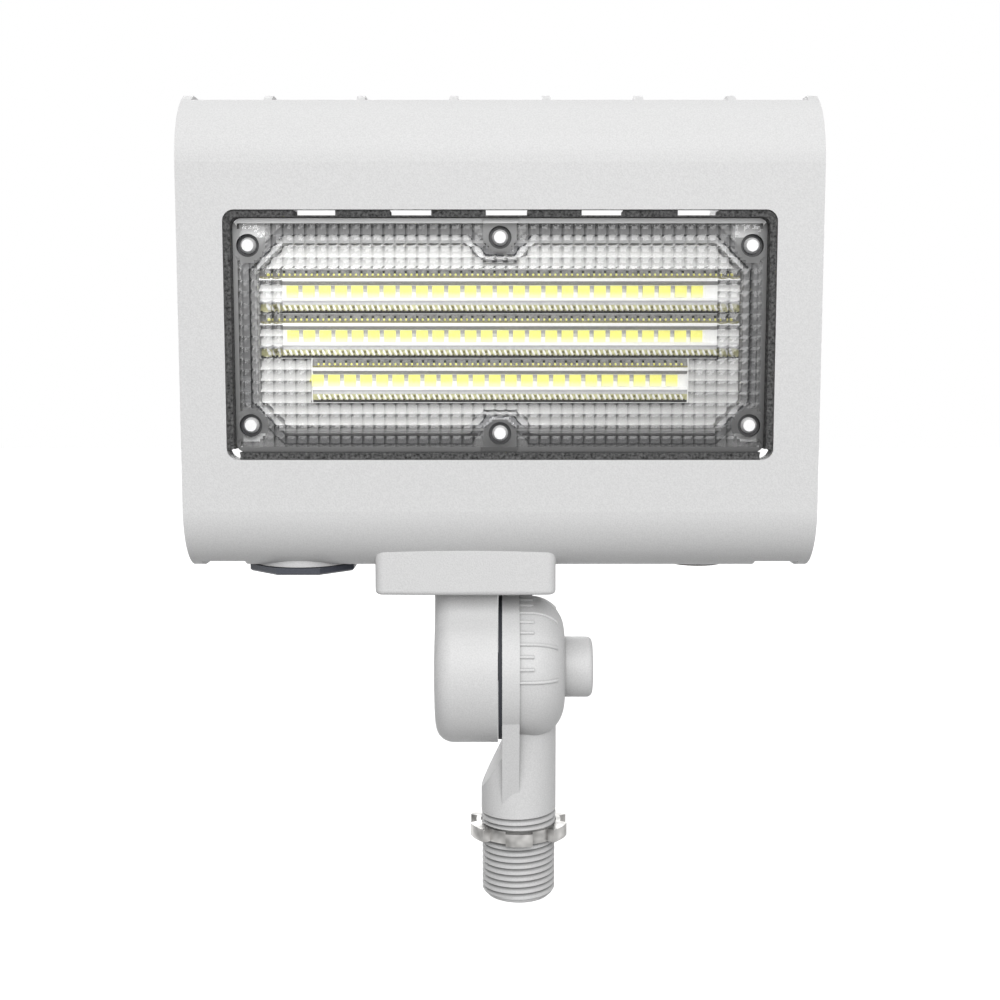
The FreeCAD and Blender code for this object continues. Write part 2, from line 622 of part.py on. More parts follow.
def board_panel(depth_from, depth_to):
    """A plate that fills the floor of the light chamber with a small clearance."""
    return gasket_path_panel(-BOARD_INSET, depth_from, depth_to)


def led_rows():
    """Each row's height above the middle of the window, with its number of chips and bar length."""
    long_row = (LONG_ROW_COUNT, LONG_BAR)
    return [(ROW_PITCH, *long_row), (0, *long_row), (-ROW_PITCH, SHORT_ROW_COUNT, SHORT_BAR)]


def led_chips():
    """Three rows of square chips on the board."""
    chips = []
    for rise, count, _ in led_rows():
        low = WINDOW_Z + rise - LED_SIZE / 2
        for number in range(count):
            middle = LED_SHIFT + (number - (count - 1) / 2) * LED_PITCH
            chips.append(head_box(LED_SIZE / 2, BOARD_FRONT - LED_HEIGHT, BOARD_FRONT,
                                  low, low + LED_SIZE, middle))
    return Part.makeCompound(chips)


def linear_optics():
    """One long prism bar over each row, with a channel that clears the chips."""
    bars = []
    for rise, _, length in led_rows():
        middle = WINDOW_Z + rise
        top = BOARD_FRONT - BAR_HEIGHT
        half = [(BAR_CHANNEL_WIDTH / 2, BOARD_FRONT - BAR_CHANNEL_HEIGHT),
                (BAR_CHANNEL_WIDTH / 2, BOARD_FRONT), (BAR_WIDTH / 2, BOARD_FRONT),
                (BAR_WIDTH / 2, BOARD_FRONT - BAR_SHOULDER), (BAR_TOP_WIDTH / 2, top)]
        points = [side_point(depth, middle + up) for up, depth in half]
        points += [side_point(depth, middle - up) for up, depth in reversed(half)]
        outline = path_lines(points + points[:1])
        bars.append(side_slab(outline, HEAD_X - length / 2, HEAD_X + length / 2))
    return Part.makeCompound(bars)


def driver_middle_z():
    """The driver sits between the photocell below and the cover's upper bosses."""
    return (DRIVER_BOTTOM + DRIVER_TOP) / 2


def driver_screw_seat(side):
    """The place on the back of a driver foot where its screw head sits."""
    across = side * (DRIVER_WIDTH / 2 + DRIVER_TAB / 2)
    return head_point(across, FLOOR_BACK + DRIVER_TAB_THICKNESS, driver_middle_z())


def driver_case():
    """The potted driver, with a foot at each end."""
    case = rounded_panel(DRIVER_WIDTH, DRIVER_TOP - DRIVER_BOTTOM, DRIVER_CORNER,
                         FLOOR_BACK, FLOOR_BACK + DRIVER_DEPTH, driver_middle_z())
    foot_half = DRIVER_TAB
    feet = head_box(DRIVER_WIDTH / 2 + DRIVER_TAB, FLOOR_BACK, FLOOR_BACK + DRIVER_TAB_THICKNESS,
                    driver_middle_z() - foot_half, driver_middle_z() + foot_half)
    holes = [Part.makeCylinder(DRIVER_SCREW_RADIUS + SCREW_HOLE_CLEARANCE, DRIVER_TAB_THICKNESS,
                               driver_screw_seat(side), BACK * -1) for side in (-1, 1)]
    return case.fuse(feet).cut(holes)


def driver_screws():
    """Two pan head screws through the driver's feet."""
    seats = [driver_screw_seat(side) for side in (-1, 1)]
    return pan_screws(DRIVER_SCREW_HEAD_RADIUS, DRIVER_SCREW_HEAD_HEIGHT, DRIVER_SCREW_RADIUS,
                      DRIVER_TAB_THICKNESS + DRIVER_SCREW_BITE, seats, BACK * -1)


def cover_panel(depth_from, depth_to, inset=0.0):
    """A plate the size of the rear compartment's outside, less an inset."""
    return rounded_panel(BOX_WIDTH - 2 * inset, BOX_TOP_RISE - 2 * inset, COVER_CORNER,
                         depth_from, depth_to, HEAD_BOTTOM + BOX_TOP_RISE / 2)


def cover_screw_holes(depth_from, depth_to):
    """Clearance holes for the rear cover's screws."""
    places = [head_point(across, depth_from, height) for across, height in cover_screw_places()]
    hole_radius = COVER_SCREW_RADIUS + SCREW_HOLE_CLEARANCE
    return [Part.makeCylinder(hole_radius, depth_to - depth_from, place, BACK) for place in places]


def rear_cover():
    """The ribbed plate that closes the driver compartment."""
    holes = cover_screw_holes(COVER_FRONT - CUT, COVER_BACK + CUT)
    plate = cover_panel(COVER_FRONT, COVER_BACK).cut(holes)
    clear = 2 * COVER_SCREW_INSET + COVER_SCREW_HEAD_RADIUS
    ribs = []
    for number in range(COVER_RIB_COUNT):
        middle = (number - (COVER_RIB_COUNT - 1) / 2) * COVER_RIB_PITCH
        ribs.append(head_box(COVER_RIB_THICKNESS / 2, COVER_BACK - COVER_THICKNESS / 2,
                             COVER_BACK + COVER_RIB_HEIGHT, HEAD_BOTTOM + clear, BOX_TOP - clear, middle))
    return plate.fuse(ribs).removeSplitter()


def rear_cover_gasket():
    """The flat gasket under the rear cover, wide enough to seal round the screws."""
    frame = cover_panel(BODY_DEPTH, COVER_FRONT).cut(cover_panel(BODY_DEPTH, COVER_FRONT, SHELL))
    eyes = []
    for across, height in cover_screw_places():
        place = head_point(across, BODY_DEPTH, height)
        eyes.append(Part.makeCylinder(COVER_BOSS_RADIUS, COVER_GASKET_THICKNESS, place, BACK))
        edge = HEAD_BOTTOM if height < HEAD_BOTTOM + BOX_TOP_RISE / 2 else BOX_TOP
        low = min(edge, height)
        eyes.append(head_box(COVER_BOSS_RADIUS / 2, BODY_DEPTH, COVER_FRONT,
                             low, low + COVER_SCREW_INSET, across))
    sheet = frame.fuse(eyes).common(cover_panel(BODY_DEPTH, COVER_FRONT))
    return sheet.cut(cover_screw_holes(BODY_DEPTH - CUT, COVER_FRONT + CUT)).removeSplitter()


def rear_cover_screws():
    """Six pan head screws in the rear cover."""
    length = COVER_THICKNESS + COVER_GASKET_THICKNESS + COVER_SCREW_BITE
    seats = [head_point(across, COVER_BACK, height) for across, height in cover_screw_places()]
    return pan_screws(COVER_SCREW_HEAD_RADIUS, COVER_SCREW_HEAD_HEIGHT, COVER_SCREW_RADIUS,
                      length, seats, BACK * -1)


def many_sided(radius, sides, height, foot):
    """An upright prism with a flat to the right, by the reach of its corners."""
    turns = [2 * math.pi * (corner + 0.5) / sides for corner in range(sides)]
    corners = [foot + V(radius * math.cos(turn), radius * math.sin(turn), 0) for turn in turns]
    return Part.Face(Part.makePolygon(corners + corners[:1])).extrude(UP * height)


def upright_turning(points, foot):
    """A solid turned about an upright axis through the foot, from radius and height pairs."""
    places = [foot + V(radius, 0, height) for radius, height in points]
    return Part.Face(Part.makePolygon(places + places[:1])).revolve(foot, UP, 360)


def sensor_port_foot():
    """The middle of the sensor port on the underside of the head."""
    return head_point(-PORT_REACH, PORT_DEPTH, HEAD_BOTTOM)


def sensor_port_cap():
    """The dark eight-sided blanking cap, with a hollow threaded spigot that a nut holds from inside."""
    bottom = -SENSOR_SEAL_STAND - SENSOR_CAP_THICKNESS
    spigot = SENSOR_BORE_RADIUS - PORT_FIT
    spigot_top = PORT_BOSS_HEIGHT + PORT_NUT_THICKNESS + PORT_SPIGOT_PROUD
    inside = spigot - SENSOR_SPIGOT_WALL
    foot = sensor_port_foot()
    corner_reach = SENSOR_CAP_RADIUS / math.cos(math.pi / SENSOR_CAP_SIDES)
    head = many_sided(corner_reach, SENSOR_CAP_SIDES, SENSOR_CAP_THICKNESS, foot + UP * bottom)
    lower_edges = [edge for edge in head.Edges if edge.BoundBox.ZMax < foot.z + bottom + SENSOR_CAP_EDGE / 2]
    head = head.makeChamfer(SENSOR_CAP_EDGE, lower_edges)
    hollow = [(0, -SENSOR_SEAL_STAND), (spigot, -SENSOR_SEAL_STAND), (spigot, spigot_top),
              (inside, spigot_top), (inside, 0), (0, 0)]
    return head.fuse(upright_turning(hollow, foot)).removeSplitter()


def sensor_port_seal():
    """The soft ring between the cap and the casting."""
    return ring(SENSOR_BORE_RADIUS + SENSOR_SEAL_WIDTH, SENSOR_BORE_RADIUS, SENSOR_SEAL_THICKNESS,
                sensor_port_foot() - UP * SENSOR_SEAL_STAND, UP)


def port_nut(radius, bore, foot):
    """A six-sided nut on the inside of a port boss."""
    block = many_sided(radius, 6, PORT_NUT_THICKNESS, foot)
    return block.cut(post(bore, PORT_NUT_THICKNESS, foot))


def photocell_foot():
    """The middle of the photocell on the underside of the head."""
    return head_point(PORT_REACH, PORT_DEPTH, HEAD_BOTTOM)


def photocell_window():
    """The tinted round window, which stands a little proud of the casting."""
    edge = PHOTOCELL_PROUD / 2
    return upright_turning([(0, -PHOTOCELL_PROUD), (PHOTOCELL_RADIUS - edge, -PHOTOCELL_PROUD),
                            (PHOTOCELL_RADIUS, edge - PHOTOCELL_PROUD),
                            (PHOTOCELL_RADIUS, PHOTOCELL_WINDOW_THICKNESS - PHOTOCELL_PROUD),
                            (0, PHOTOCELL_WINDOW_THICKNESS - PHOTOCELL_PROUD)], photocell_foot())


def photocell_body():
    """The sealed cell behind the window, held by a nut above the boss."""
    start = PHOTOCELL_WINDOW_THICKNESS - PHOTOCELL_PROUD
    top = PORT_BOSS_HEIGHT + PHOTOCELL_BODY_PROUD
    return post(PHOTOCELL_RADIUS, top - start, photocell_foot() + UP * start)


def wire_grommet():
    """The soft grommet where the leads pass into the head, lipped on the inside."""
    bore = GROMMET_BORE_RADIUS
    return upright_turning([(bore, 0), (GROMMET_HOLE_RADIUS, 0), (GROMMET_HOLE_RADIUS, SHELL),
                            (GROMMET_LIP_RADIUS, SHELL), (GROMMET_HOLE_RADIUS, SHELL + GROMMET_LIP),
                            (bore, SHELL + GROMMET_LIP)], V(WIRE_X, 0, HEAD_BOTTOM))


def turned_about_axis(edges):
    """A solid turned about the knuckle axis, from edges drawn in the upright plane through it."""
    return Part.Face(Part.Wire(edges)).revolve(V(0, 0, AXIS_HEIGHT), RIGHT, 360)


def axis_point(x, radius):
    """A point by its place along the knuckle axis and its distance from it."""
    return V(x, 0, AXIS_HEIGHT + radius)


def flange_plan():
    """The flange seen from above: straight ends, round corners and bowed long sides."""
    half_w = FLANGE_WIDTH / 2
    half_d = FLANGE_DEPTH / 2
    bend = FLANGE_CORNER * (1 - math.sqrt(0.5))
    shoulder = half_d - FLANGE_BULGE
    edges = []
    for sign in (-1, 1):
        near = V(-sign * half_w, sign * (shoulder - FLANGE_CORNER), 0)
        first = V(-sign * (half_w - FLANGE_CORNER), sign * shoulder, 0)
        last = V(sign * (half_w - FLANGE_CORNER), sign * shoulder, 0)
        far = V(sign * half_w, sign * (shoulder - FLANGE_CORNER), 0)
        left_bend = V(-sign * (half_w - bend), sign * (shoulder - bend), 0)
        right_bend = V(sign * (half_w - bend), sign * (shoulder - bend), 0)
        edges.append(Part.Arc(near, left_bend, first).toShape())
        edges.append(Part.Arc(first, V(0, sign * half_d, 0), last).toShape())
        edges.append(Part.Arc(last, right_bend, far).toShape())
        edges += path_lines([far, V(far.x, -far.y, 0)])
    return Part.Face(Part.Wire(edges))


def barrel_profile():
    """The barrel from the side: round below, with a hollow curve on each side up into a straight neck."""
    side = NECK_DEPTH / 2
    reach = BARREL_RADIUS + NECK_BLEND
    rise = math.sqrt(reach ** 2 - (side + NECK_BLEND) ** 2)
    middle = V(0, 0, AXIS_HEIGHT)
    top = [V(0, -side, FLANGE_BOTTOM), V(0, side, FLANGE_BOTTOM)]
    shoulders = []
    edges = path_lines(top)
    for turn, corner in ((-1, top[0]), (1, top[1])):
        blend = V(0, turn * (side + NECK_BLEND), AXIS_HEIGHT + rise)
        start = V(0, turn * side, blend.z)
        end = middle + (blend - middle) * (BARREL_RADIUS / reach)
        halfway = (start + end) * 0.5 - blend
        edges.append(Part.LineSegment(corner, start).toShape())
        edges.append(Part.Arc(start, blend + halfway * (NECK_BLEND / halfway.Length), end).toShape())
        shoulders.append(end)
    edges.append(Part.Arc(shoulders[0], middle - UP * BARREL_RADIUS, shoulders[1]).toShape())
    return Part.__sortEdges__(edges)


def knuckle_base():
    """The casting under the head: a flange that follows the head's round edge, a neck and the barrel."""
    flange = flange_plan().extrude(UP * (FLANGE_DROP + BOTTOM_ARC))
    lower_edges = [edge for edge in flange.Edges if edge.BoundBox.ZMax < FLANGE_DROP / 2]
    flange = flange.makeFillet(FLANGE_EDGE, lower_edges)
    flange.translate(V(FLANGE_X, 0, FLANGE_BOTTOM))
    behind = head_box(HEAD_WIDTH / 2, BOTTOM_ARC, BODY_DEPTH + FLANGE_DEPTH, HEAD_BOTTOM, HEAD_TOP)
    flange = flange.cut([head_outer(), behind])
    barrel = side_slab(barrel_profile(), BARREL_LEFT, BARREL_RIGHT)
    rim = [edge for edge in barrel.Edges
           if edge.BoundBox.XMax < FLANGE_X and edge.BoundBox.ZMin < FLANGE_BOTTOM - CUT]
    body = barrel.makeFillet(BARREL_EDGE, rim).fuse(flange).removeSplitter()

    start = V(BARREL_LEFT, 0, AXIS_HEIGHT)
    end = V(BARREL_RIGHT, 0, AXIS_HEIGHT)
    counterbore = FLAT_WASHER_RADIUS + COUNTERBORE_CLEARANCE
    cuts = [Part.makeCylinder(counterbore, COUNTERBORE_FLOOR - BARREL_LEFT, start, RIGHT),
            Part.makeCylinder(BOLT_RADIUS + BOLT_CLEARANCE, BARREL_LENGTH, start, RIGHT),
            Part.makeCylinder(CABLE_RECESS_RADIUS, BASE_RECESS_DEPTH, end, RIGHT * -1),
            post(WIRE_HOLE_RADIUS, HEAD_BOTTOM - AXIS_HEIGHT, V(WIRE_X, 0, AXIS_HEIGHT + BOLT_HEAD_RADIUS)),
            o_ring_shape(O_RING_SECTION + CUT)]
    hole_radius = FLANGE_SCREW_RADIUS + SCREW_HOLE_CLEARANCE
    sink_radius = FLANGE_SCREW_HEAD_RADIUS + FLANGE_SINK_CLEARANCE
    for x, y in flange_screw_places():
        cuts.append(post(hole_radius, FLANGE_DROP + 2 * CUT, V(x, y, FLANGE_BOTTOM - CUT)))
        cuts.append(post(sink_radius, FLANGE_SCREW_SINK + CUT, V(x, y, FLANGE_BOTTOM - CUT)))
    return body.cut(cuts)


def o_ring_shape(height):
    """A ring round the wire hole, up from the floor of its groove in the flange."""
    foot = V(WIRE_X, 0, HEAD_BOTTOM - O_RING_SECTION)
    return ring(O_RING_RADIUS + O_RING_SECTION / 2, O_RING_RADIUS - O_RING_SECTION / 2, height, foot, UP)


def flange_o_ring():
    """The soft ring in the top of the flange, round the wire hole."""
    return o_ring_shape(O_RING_SECTION)


def flange_screws():
    """Four pan head screws up through the flange, sunk almost flush."""
    seats = [V(x, y, FLANGE_BOTTOM + FLANGE_SCREW_SINK) for x, y in flange_screw_places()]
    return pan_screws(FLANGE_SCREW_HEAD_RADIUS, FLANGE_SCREW_HEAD_HEIGHT, FLANGE_SCREW_RADIUS,
                      FLANGE_DROP - FLANGE_SCREW_SINK + FLANGE_SCREW_BITE, seats, UP)


def dome_line():
    """The dome's skin in profile: straight from the disc, then round to its end."""
    shoulder = DISC_RIGHT + DOME_STRAIGHT
    half = math.sqrt(0.5)
    bend = axis_point(shoulder + (DOME_RIGHT - shoulder) * half,
                      DOME_END_RADIUS + (DOME_RADIUS - DOME_END_RADIUS) * half)
    start = axis_point(shoulder, DOME_RADIUS)
    edges = path_lines([axis_point(DISC_RIGHT, DOME_RADIUS), start])
    edges.append(Part.Arc(start, bend, axis_point(DOME_RIGHT, DOME_END_RADIUS)).toShape())
    return edges


def dome_solid():
    """The disc, dome and boss about the knuckle axis."""
    half = math.sqrt(0.5)
    edges = path_lines([axis_point(DISC_LEFT, 0), axis_point(DISC_LEFT, DISC_RADIUS),
                        axis_point(DISC_RIGHT, DISC_RADIUS), axis_point(DISC_RIGHT, DOME_RADIUS)])
    edges += dome_line()
    round_start = axis_point(BOSS_RIGHT - BOSS_EDGE, BOSS_RADIUS)
    round_drop = BOSS_EDGE * (1 - half)
    round_middle = axis_point(BOSS_RIGHT - round_drop, BOSS_RADIUS - round_drop)
    round_end = axis_point(BOSS_RIGHT, BOSS_RADIUS - BOSS_EDGE)
    edges += path_lines([axis_point(DOME_RIGHT, DOME_END_RADIUS), axis_point(DOME_RIGHT, BOSS_RADIUS),
                         round_start])
    edges.append(Part.Arc(round_start, round_middle, round_end).toShape())
    edges += path_lines([round_end, axis_point(BOSS_RIGHT, 0), axis_point(DISC_LEFT, 0)])
    return turned_about_axis(edges)


def angle_ticks():
    """Half-round marks along the dome, from its front over the top to its back, each third one longer."""
    round_end = Part.Circle(axis_point(DISC_RIGHT, DOME_RADIUS), RIGHT, TICK_RADIUS).toShape()
    rod = Part.Wire(dome_line()).makePipeShell([Part.Wire(round_end)], True, False)
    ticks = []
    for angle in range(0, 181, TICK_STEP):
        length = TICK_LONG if angle % TICK_LONG_STEP == 0 else TICK_SHORT
        reach = Part.makeBox(length, 4 * TICK_RADIUS, 2 * DOME_RADIUS,
                             V(DISC_RIGHT, -2 * TICK_RADIUS, AXIS_HEIGHT))
        tick = rod.common(reach)
        tick.rotate(V(0, 0, AXIS_HEIGHT), RIGHT, 90 - angle)
        ticks.append(tick)
    return ticks


def knuckle_arm():
    """The casting below: disc and dome about the axis, a web down to the stem, and the stem itself."""
    dome = dome_solid()
    web_slope = (WEB_HALF_WIDTH - STEM_RADIUS) / (WEB_FOOT_DROP - WEB_TOP_DROP)
    toe_drop = WEB_FOOT_DROP + (STEM_RADIUS - WEB_TOE) / web_slope
    web = side_slab(path_lines([V(0, -WEB_HALF_WIDTH, AXIS_HEIGHT - WEB_TOP_DROP),
                                V(0, -WEB_TOE, AXIS_HEIGHT - toe_drop),
                                V(0, WEB_TOE, AXIS_HEIGHT - toe_drop),
                                V(0, WEB_HALF_WIDTH, AXIS_HEIGHT - WEB_TOP_DROP),
                                V(0, -WEB_HALF_WIDTH, AXIS_HEIGHT - WEB_TOP_DROP)]), DISC_LEFT, DISC_RIGHT)
    stem = post(STEM_RADIUS, AXIS_HEIGHT - FREE_THREAD, V(0, 0, FREE_THREAD))
    left = -2 * BARREL_LENGTH
    slant_foot = AXIS_HEIGHT - SLANT_FOOT_DROP
    corners = [(-STEM_RADIUS, slant_foot), (DISC_LEFT, AXIS_HEIGHT - SLANT_TOP_DROP),
               (DISC_LEFT, AXIS_HEIGHT + CUT), (left, AXIS_HEIGHT + CUT), (left, slant_foot)]
    points = [V(x, -2 * STEM_RADIUS, z) for x, z in corners]
    slant = Part.Face(Part.makePolygon(points + points[:1])).extrude(BACK * 4 * STEM_RADIUS)
    stem = stem.cut(slant)
    tip_profile = [(0, -STEM_TIP_CHAMFER), (STEM_TIP_RADIUS - STEM_TIP_CHAMFER, -STEM_TIP_CHAMFER),
                   (STEM_TIP_RADIUS, 0), (STEM_TIP_RADIUS, FREE_THREAD), (0, FREE_THREAD)]
    tip = upright_turning(tip_profile, V(0, 0, 0))
    body = dome.fuse([web, stem, tip]).fuse(angle_ticks())
    wire_side = DISC_LEFT + CABLE_RECESS_DEPTH + WIRE_HOLE_RADIUS / 2
    wire_rise = AXIS_HEIGHT - BOLT_HEAD_RADIUS - WIRE_BORE_DEPTH
    face = V(DISC_LEFT, 0, AXIS_HEIGHT)
    cuts = [post(WIRE_BORE_RADIUS, WIRE_BORE_DEPTH + STEM_TIP_CHAMFER, V(0, 0, -STEM_TIP_CHAMFER)),
            post(WIRE_HOLE_RADIUS, wire_rise + CUT, V(wire_side, 0, WIRE_BORE_DEPTH - CUT)),
            Part.makeCylinder(CABLE_RECESS_RADIUS, CABLE_RECESS_DEPTH, face, RIGHT),
            Part.makeCylinder(BOLT_RADIUS, BOSS_RIGHT - BOLT_TIP_GAP - DISC_LEFT, face, RIGHT)]
    return body.cut(cuts)


def knuckle_seal():
    """The flat rubber ring between the two knuckle castings."""
    start = V(DISC_LEFT - SEAL_THICKNESS, 0, AXIS_HEIGHT)
    return ring(SEAL_RADIUS, SEAL_BORE_RADIUS, SEAL_THICKNESS, start, RIGHT)


def flat_washer():
    """The wide washer on the floor of the barrel's counterbore."""
    return ring(FLAT_WASHER_RADIUS, BOLT_RADIUS + WASHER_CLEARANCE, FLAT_WASHER_THICKNESS,
                V(COUNTERBORE_FLOOR - TURN_GAP - FLAT_WASHER_THICKNESS, 0, AXIS_HEIGHT), RIGHT)


def spring_washer():
    """The split washer that keeps the knuckle tight."""
    start = V(COUNTERBORE_FLOOR - TURN_GAP - WASHER_STACK, 0, AXIS_HEIGHT)
    split = Part.makeBox(SPRING_WASHER_THICKNESS, SPRING_WASHER_SPLIT, SPRING_WASHER_RADIUS + CUT,
                         start - BACK * (SPRING_WASHER_SPLIT / 2))
    bore = BOLT_RADIUS + WASHER_CLEARANCE
    return ring(SPRING_WASHER_RADIUS, bore, SPRING_WASHER_THICKNESS, start, RIGHT).cut(split)


def pivot_bolt():
    """The hexagon bolt through both castings, screwed into the blind boss."""
    seat = COUNTERBORE_FLOOR - TURN_GAP - WASHER_STACK
    corners = [V(seat, BOLT_HEAD_RADIUS * math.cos(math.radians(60 * k)),
                 AXIS_HEIGHT + BOLT_HEAD_RADIUS * math.sin(math.radians(60 * k))) for k in range(6)]
    head = Part.Face(Part.makePolygon(corners + corners[:1])).extrude(RIGHT * -BOLT_HEAD_HEIGHT)
    shank = Part.makeCylinder(BOLT_RADIUS, BOSS_RIGHT - BOLT_TIP_GAP - seat, V(seat, 0, AXIS_HEIGHT), RIGHT)
    return head.fuse(shank)


def lock_nut():
    """The flat conduit nut, a ring with lugs for a driver's blade."""
    foot = V(0, 0, FREE_THREAD + NUT_LIFT)
    body = post(NUT_NECK_RADIUS, NUT_THICKNESS, foot)
    lugs = []
    for number in range(NUT_LUGS):
        corner = foot - RIGHT * (NUT_LUG_WIDTH / 2) - BACK * NUT_LUG_RADIUS
        lug = Part.makeBox(NUT_LUG_WIDTH, NUT_LUG_RADIUS, NUT_THICKNESS, corner)
        lug.rotate(foot, UP, number * 360 / NUT_LUGS)
        lugs.append(lug)
    rim = post(NUT_LUG_RADIUS, NUT_THICKNESS, foot)
    body = body.fuse(lugs).common(rim)
    return body.cut(post(STEM_RADIUS + NUT_CLEARANCE, NUT_THICKNESS, foot)).removeSplitter()


os.makedirs("parts", exist_ok=True)
save("housing", housing())
save("lens_cover", lens_cover())
save("lens_gasket", lens_gasket())
save("lens_edge_seal", lens_edge_seal())
save("lens_screws", lens_screws())
save("thermal_pad", board_panel(BOARD_BACK, FLOOR_FRONT))
save("led_board", board_panel(BOARD_FRONT, BOARD_BACK))
save("led_chips", led_chips())
save("linear_optics", linear_optics())
save("driver_case", driver_case())
save("driver_screws", driver_screws())
save("rear_cover", rear_cover())
save("rear_cover_gasket", rear_cover_gasket())
save("rear_cover_screws", rear_cover_screws())
save("sensor_port_cap", sensor_port_cap())
save("sensor_port_seal", sensor_port_seal())
save("sensor_port_nut", port_nut(SENSOR_NUT_RADIUS, SENSOR_BORE_RADIUS - PORT_FIT,
                                 sensor_port_foot() + UP * PORT_BOSS_HEIGHT))
save("photocell_window", photocell_window())
save("photocell_body", photocell_body())
save("photocell_nut", port_nut(PHOTOCELL_NUT_RADIUS, PHOTOCELL_RADIUS,
                               photocell_foot() + UP * PORT_BOSS_HEIGHT))
save("wire_grommet", wire_grommet())
save("knuckle_base", knuckle_base())
save("flange_o_ring", flange_o_ring())
save("flange_screws", flange_screws())
save("knuckle_arm", knuckle_arm())
save("knuckle_seal", knuckle_seal())
save("flat_washer", flat_washer())
save("spring_washer", spring_washer())
save("pivot_bolt", pivot_bolt())
save("lock_nut", lock_nut())
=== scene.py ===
"""Looks of a knuckle-mounted LED flood light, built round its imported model, in metres."""
import math

import bmesh
import bpy
from mathutils import Matrix, Vector


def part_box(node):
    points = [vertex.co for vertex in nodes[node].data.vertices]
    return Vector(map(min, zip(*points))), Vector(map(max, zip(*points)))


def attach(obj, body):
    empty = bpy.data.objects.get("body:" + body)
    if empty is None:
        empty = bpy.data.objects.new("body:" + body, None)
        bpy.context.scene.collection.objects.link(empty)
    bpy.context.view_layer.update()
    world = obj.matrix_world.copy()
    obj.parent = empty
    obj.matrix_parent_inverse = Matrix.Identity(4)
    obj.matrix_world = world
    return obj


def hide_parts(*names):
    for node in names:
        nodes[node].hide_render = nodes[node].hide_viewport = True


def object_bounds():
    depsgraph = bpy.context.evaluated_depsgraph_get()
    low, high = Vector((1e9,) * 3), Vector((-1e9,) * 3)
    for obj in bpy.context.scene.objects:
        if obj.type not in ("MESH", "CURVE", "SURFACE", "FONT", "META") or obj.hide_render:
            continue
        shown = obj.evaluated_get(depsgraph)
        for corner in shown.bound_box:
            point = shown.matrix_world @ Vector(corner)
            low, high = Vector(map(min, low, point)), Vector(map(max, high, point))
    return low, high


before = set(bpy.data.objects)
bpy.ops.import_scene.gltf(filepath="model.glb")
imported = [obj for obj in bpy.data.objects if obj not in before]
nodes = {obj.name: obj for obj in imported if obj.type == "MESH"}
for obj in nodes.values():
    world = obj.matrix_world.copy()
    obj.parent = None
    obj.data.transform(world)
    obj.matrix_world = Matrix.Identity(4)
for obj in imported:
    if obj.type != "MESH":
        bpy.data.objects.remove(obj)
cad_low, cad_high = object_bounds()

# Camera. It stands in front of the lens, a little above its middle, and looks slightly down
# along +Y through a normal lens.
mm = 0.001
head_low, head_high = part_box("housing")
head_x = (head_low.x + head_high.x) / 2
camera_distance = 365.2 * mm
camera_height = 154.46 * mm
camera_pitch = math.radians(6.1)
camera_data = bpy.data.cameras.new("camera")
camera_data.lens = 50
camera_data.sensor_width = 36
camera_data.clip_start = 0.01
camera = bpy.data.objects.new("camera", camera_data)
camera.location = (head_x, head_low.y - camera_distance, camera_height)
camera.rotation_euler = (math.radians(90) - camera_pitch, 0, 0)
bpy.context.scene.collection.objects.link(camera)
bpy.context.scene.camera = camera
bpy.context.scene.view_settings.view_transform = "Standard"

# Studio. A wide soft lamp in front, weaker ones above and behind, and a pale room that is darker
# below the horizon. The camera sees the room as plain white.
room_above = 0.36
room_below = 0.08
room_horizon = 0.4
lamp_target = Vector((head_x, 0, 0.14))


def feed(tree, socket, value):
    """Link a node's output to a socket, or set the socket to a plain value."""
    if isinstance(value, bpy.types.NodeSocket):
        tree.links.new(value, socket)
    else:
        socket.default_value = value


def calculate(tree, operation, first, second=0.0):
    """Add one sum to a node tree."""
    node = tree.nodes.new("ShaderNodeMath")
    node.operation = operation
    feed(tree, node.inputs[0], first)
    feed(tree, node.inputs[1], second)
    return node.outputs[0]


def blend_range(tree, value, low, high, at_low, at_high):
    """Add a straight ramp between two values to a node tree."""
    node = tree.nodes.new("ShaderNodeMapRange")
    names = ("Value", "From Min", "From Max", "To Min", "To Max")
    for name, given in zip(names, (value, low, high, at_low, at_high)):
        feed(tree, node.inputs[name], given)
    return node.outputs["Result"]


def seen_mask(tree):
    """Add a mask that is 1 for what the camera sees directly, mirrored or through the lens."""
    path = tree.nodes.new("ShaderNodeLightPath").outputs
    by_glass = calculate(tree, "MAXIMUM", path["Is Glossy Ray"], path["Is Transmission Ray"])
    looked_at = calculate(tree, "MAXIMUM", path["Is Camera Ray"], by_glass)
    before_matt = calculate(tree, "LESS_THAN", path["Diffuse Depth"], 0.5)
    return calculate(tree, "MULTIPLY", looked_at, before_matt)


world = bpy.data.worlds.new("studio_room")
bpy.context.scene.world = world
world.use_nodes = True
room = world.node_tree
room.nodes.clear()
room_direction = room.nodes.new("ShaderNodeTexCoord")
room_parts = room.nodes.new("ShaderNodeSeparateXYZ")
room_light = room.nodes.new("ShaderNodeBackground")
room_seen = room.nodes.new("ShaderNodeBackground")
room_seen.inputs["Strength"].default_value = 1.0
room_seen.inputs["Color"].default_value = (1, 1, 1, 1)
room_mix = room.nodes.new("ShaderNodeMixShader")
room_out = room.nodes.new("ShaderNodeOutputWorld")
room.links.new(room_direction.outputs["Generated"], room_parts.inputs[0])
room_shade = blend_range(room, room_parts.outputs["Z"], -room_horizon, room_horizon, room_below, room_above)
room.links.new(room_shade, room_light.inputs["Strength"])
room.links.new(seen_mask(room), room_mix.inputs["Fac"])
room.links.new(room_light.outputs[0], room_mix.inputs[1])
room.links.new(room_seen.outputs[0], room_mix.inputs[2])
room.links.new(room_mix.outputs[0], room_out.inputs["Surface"])


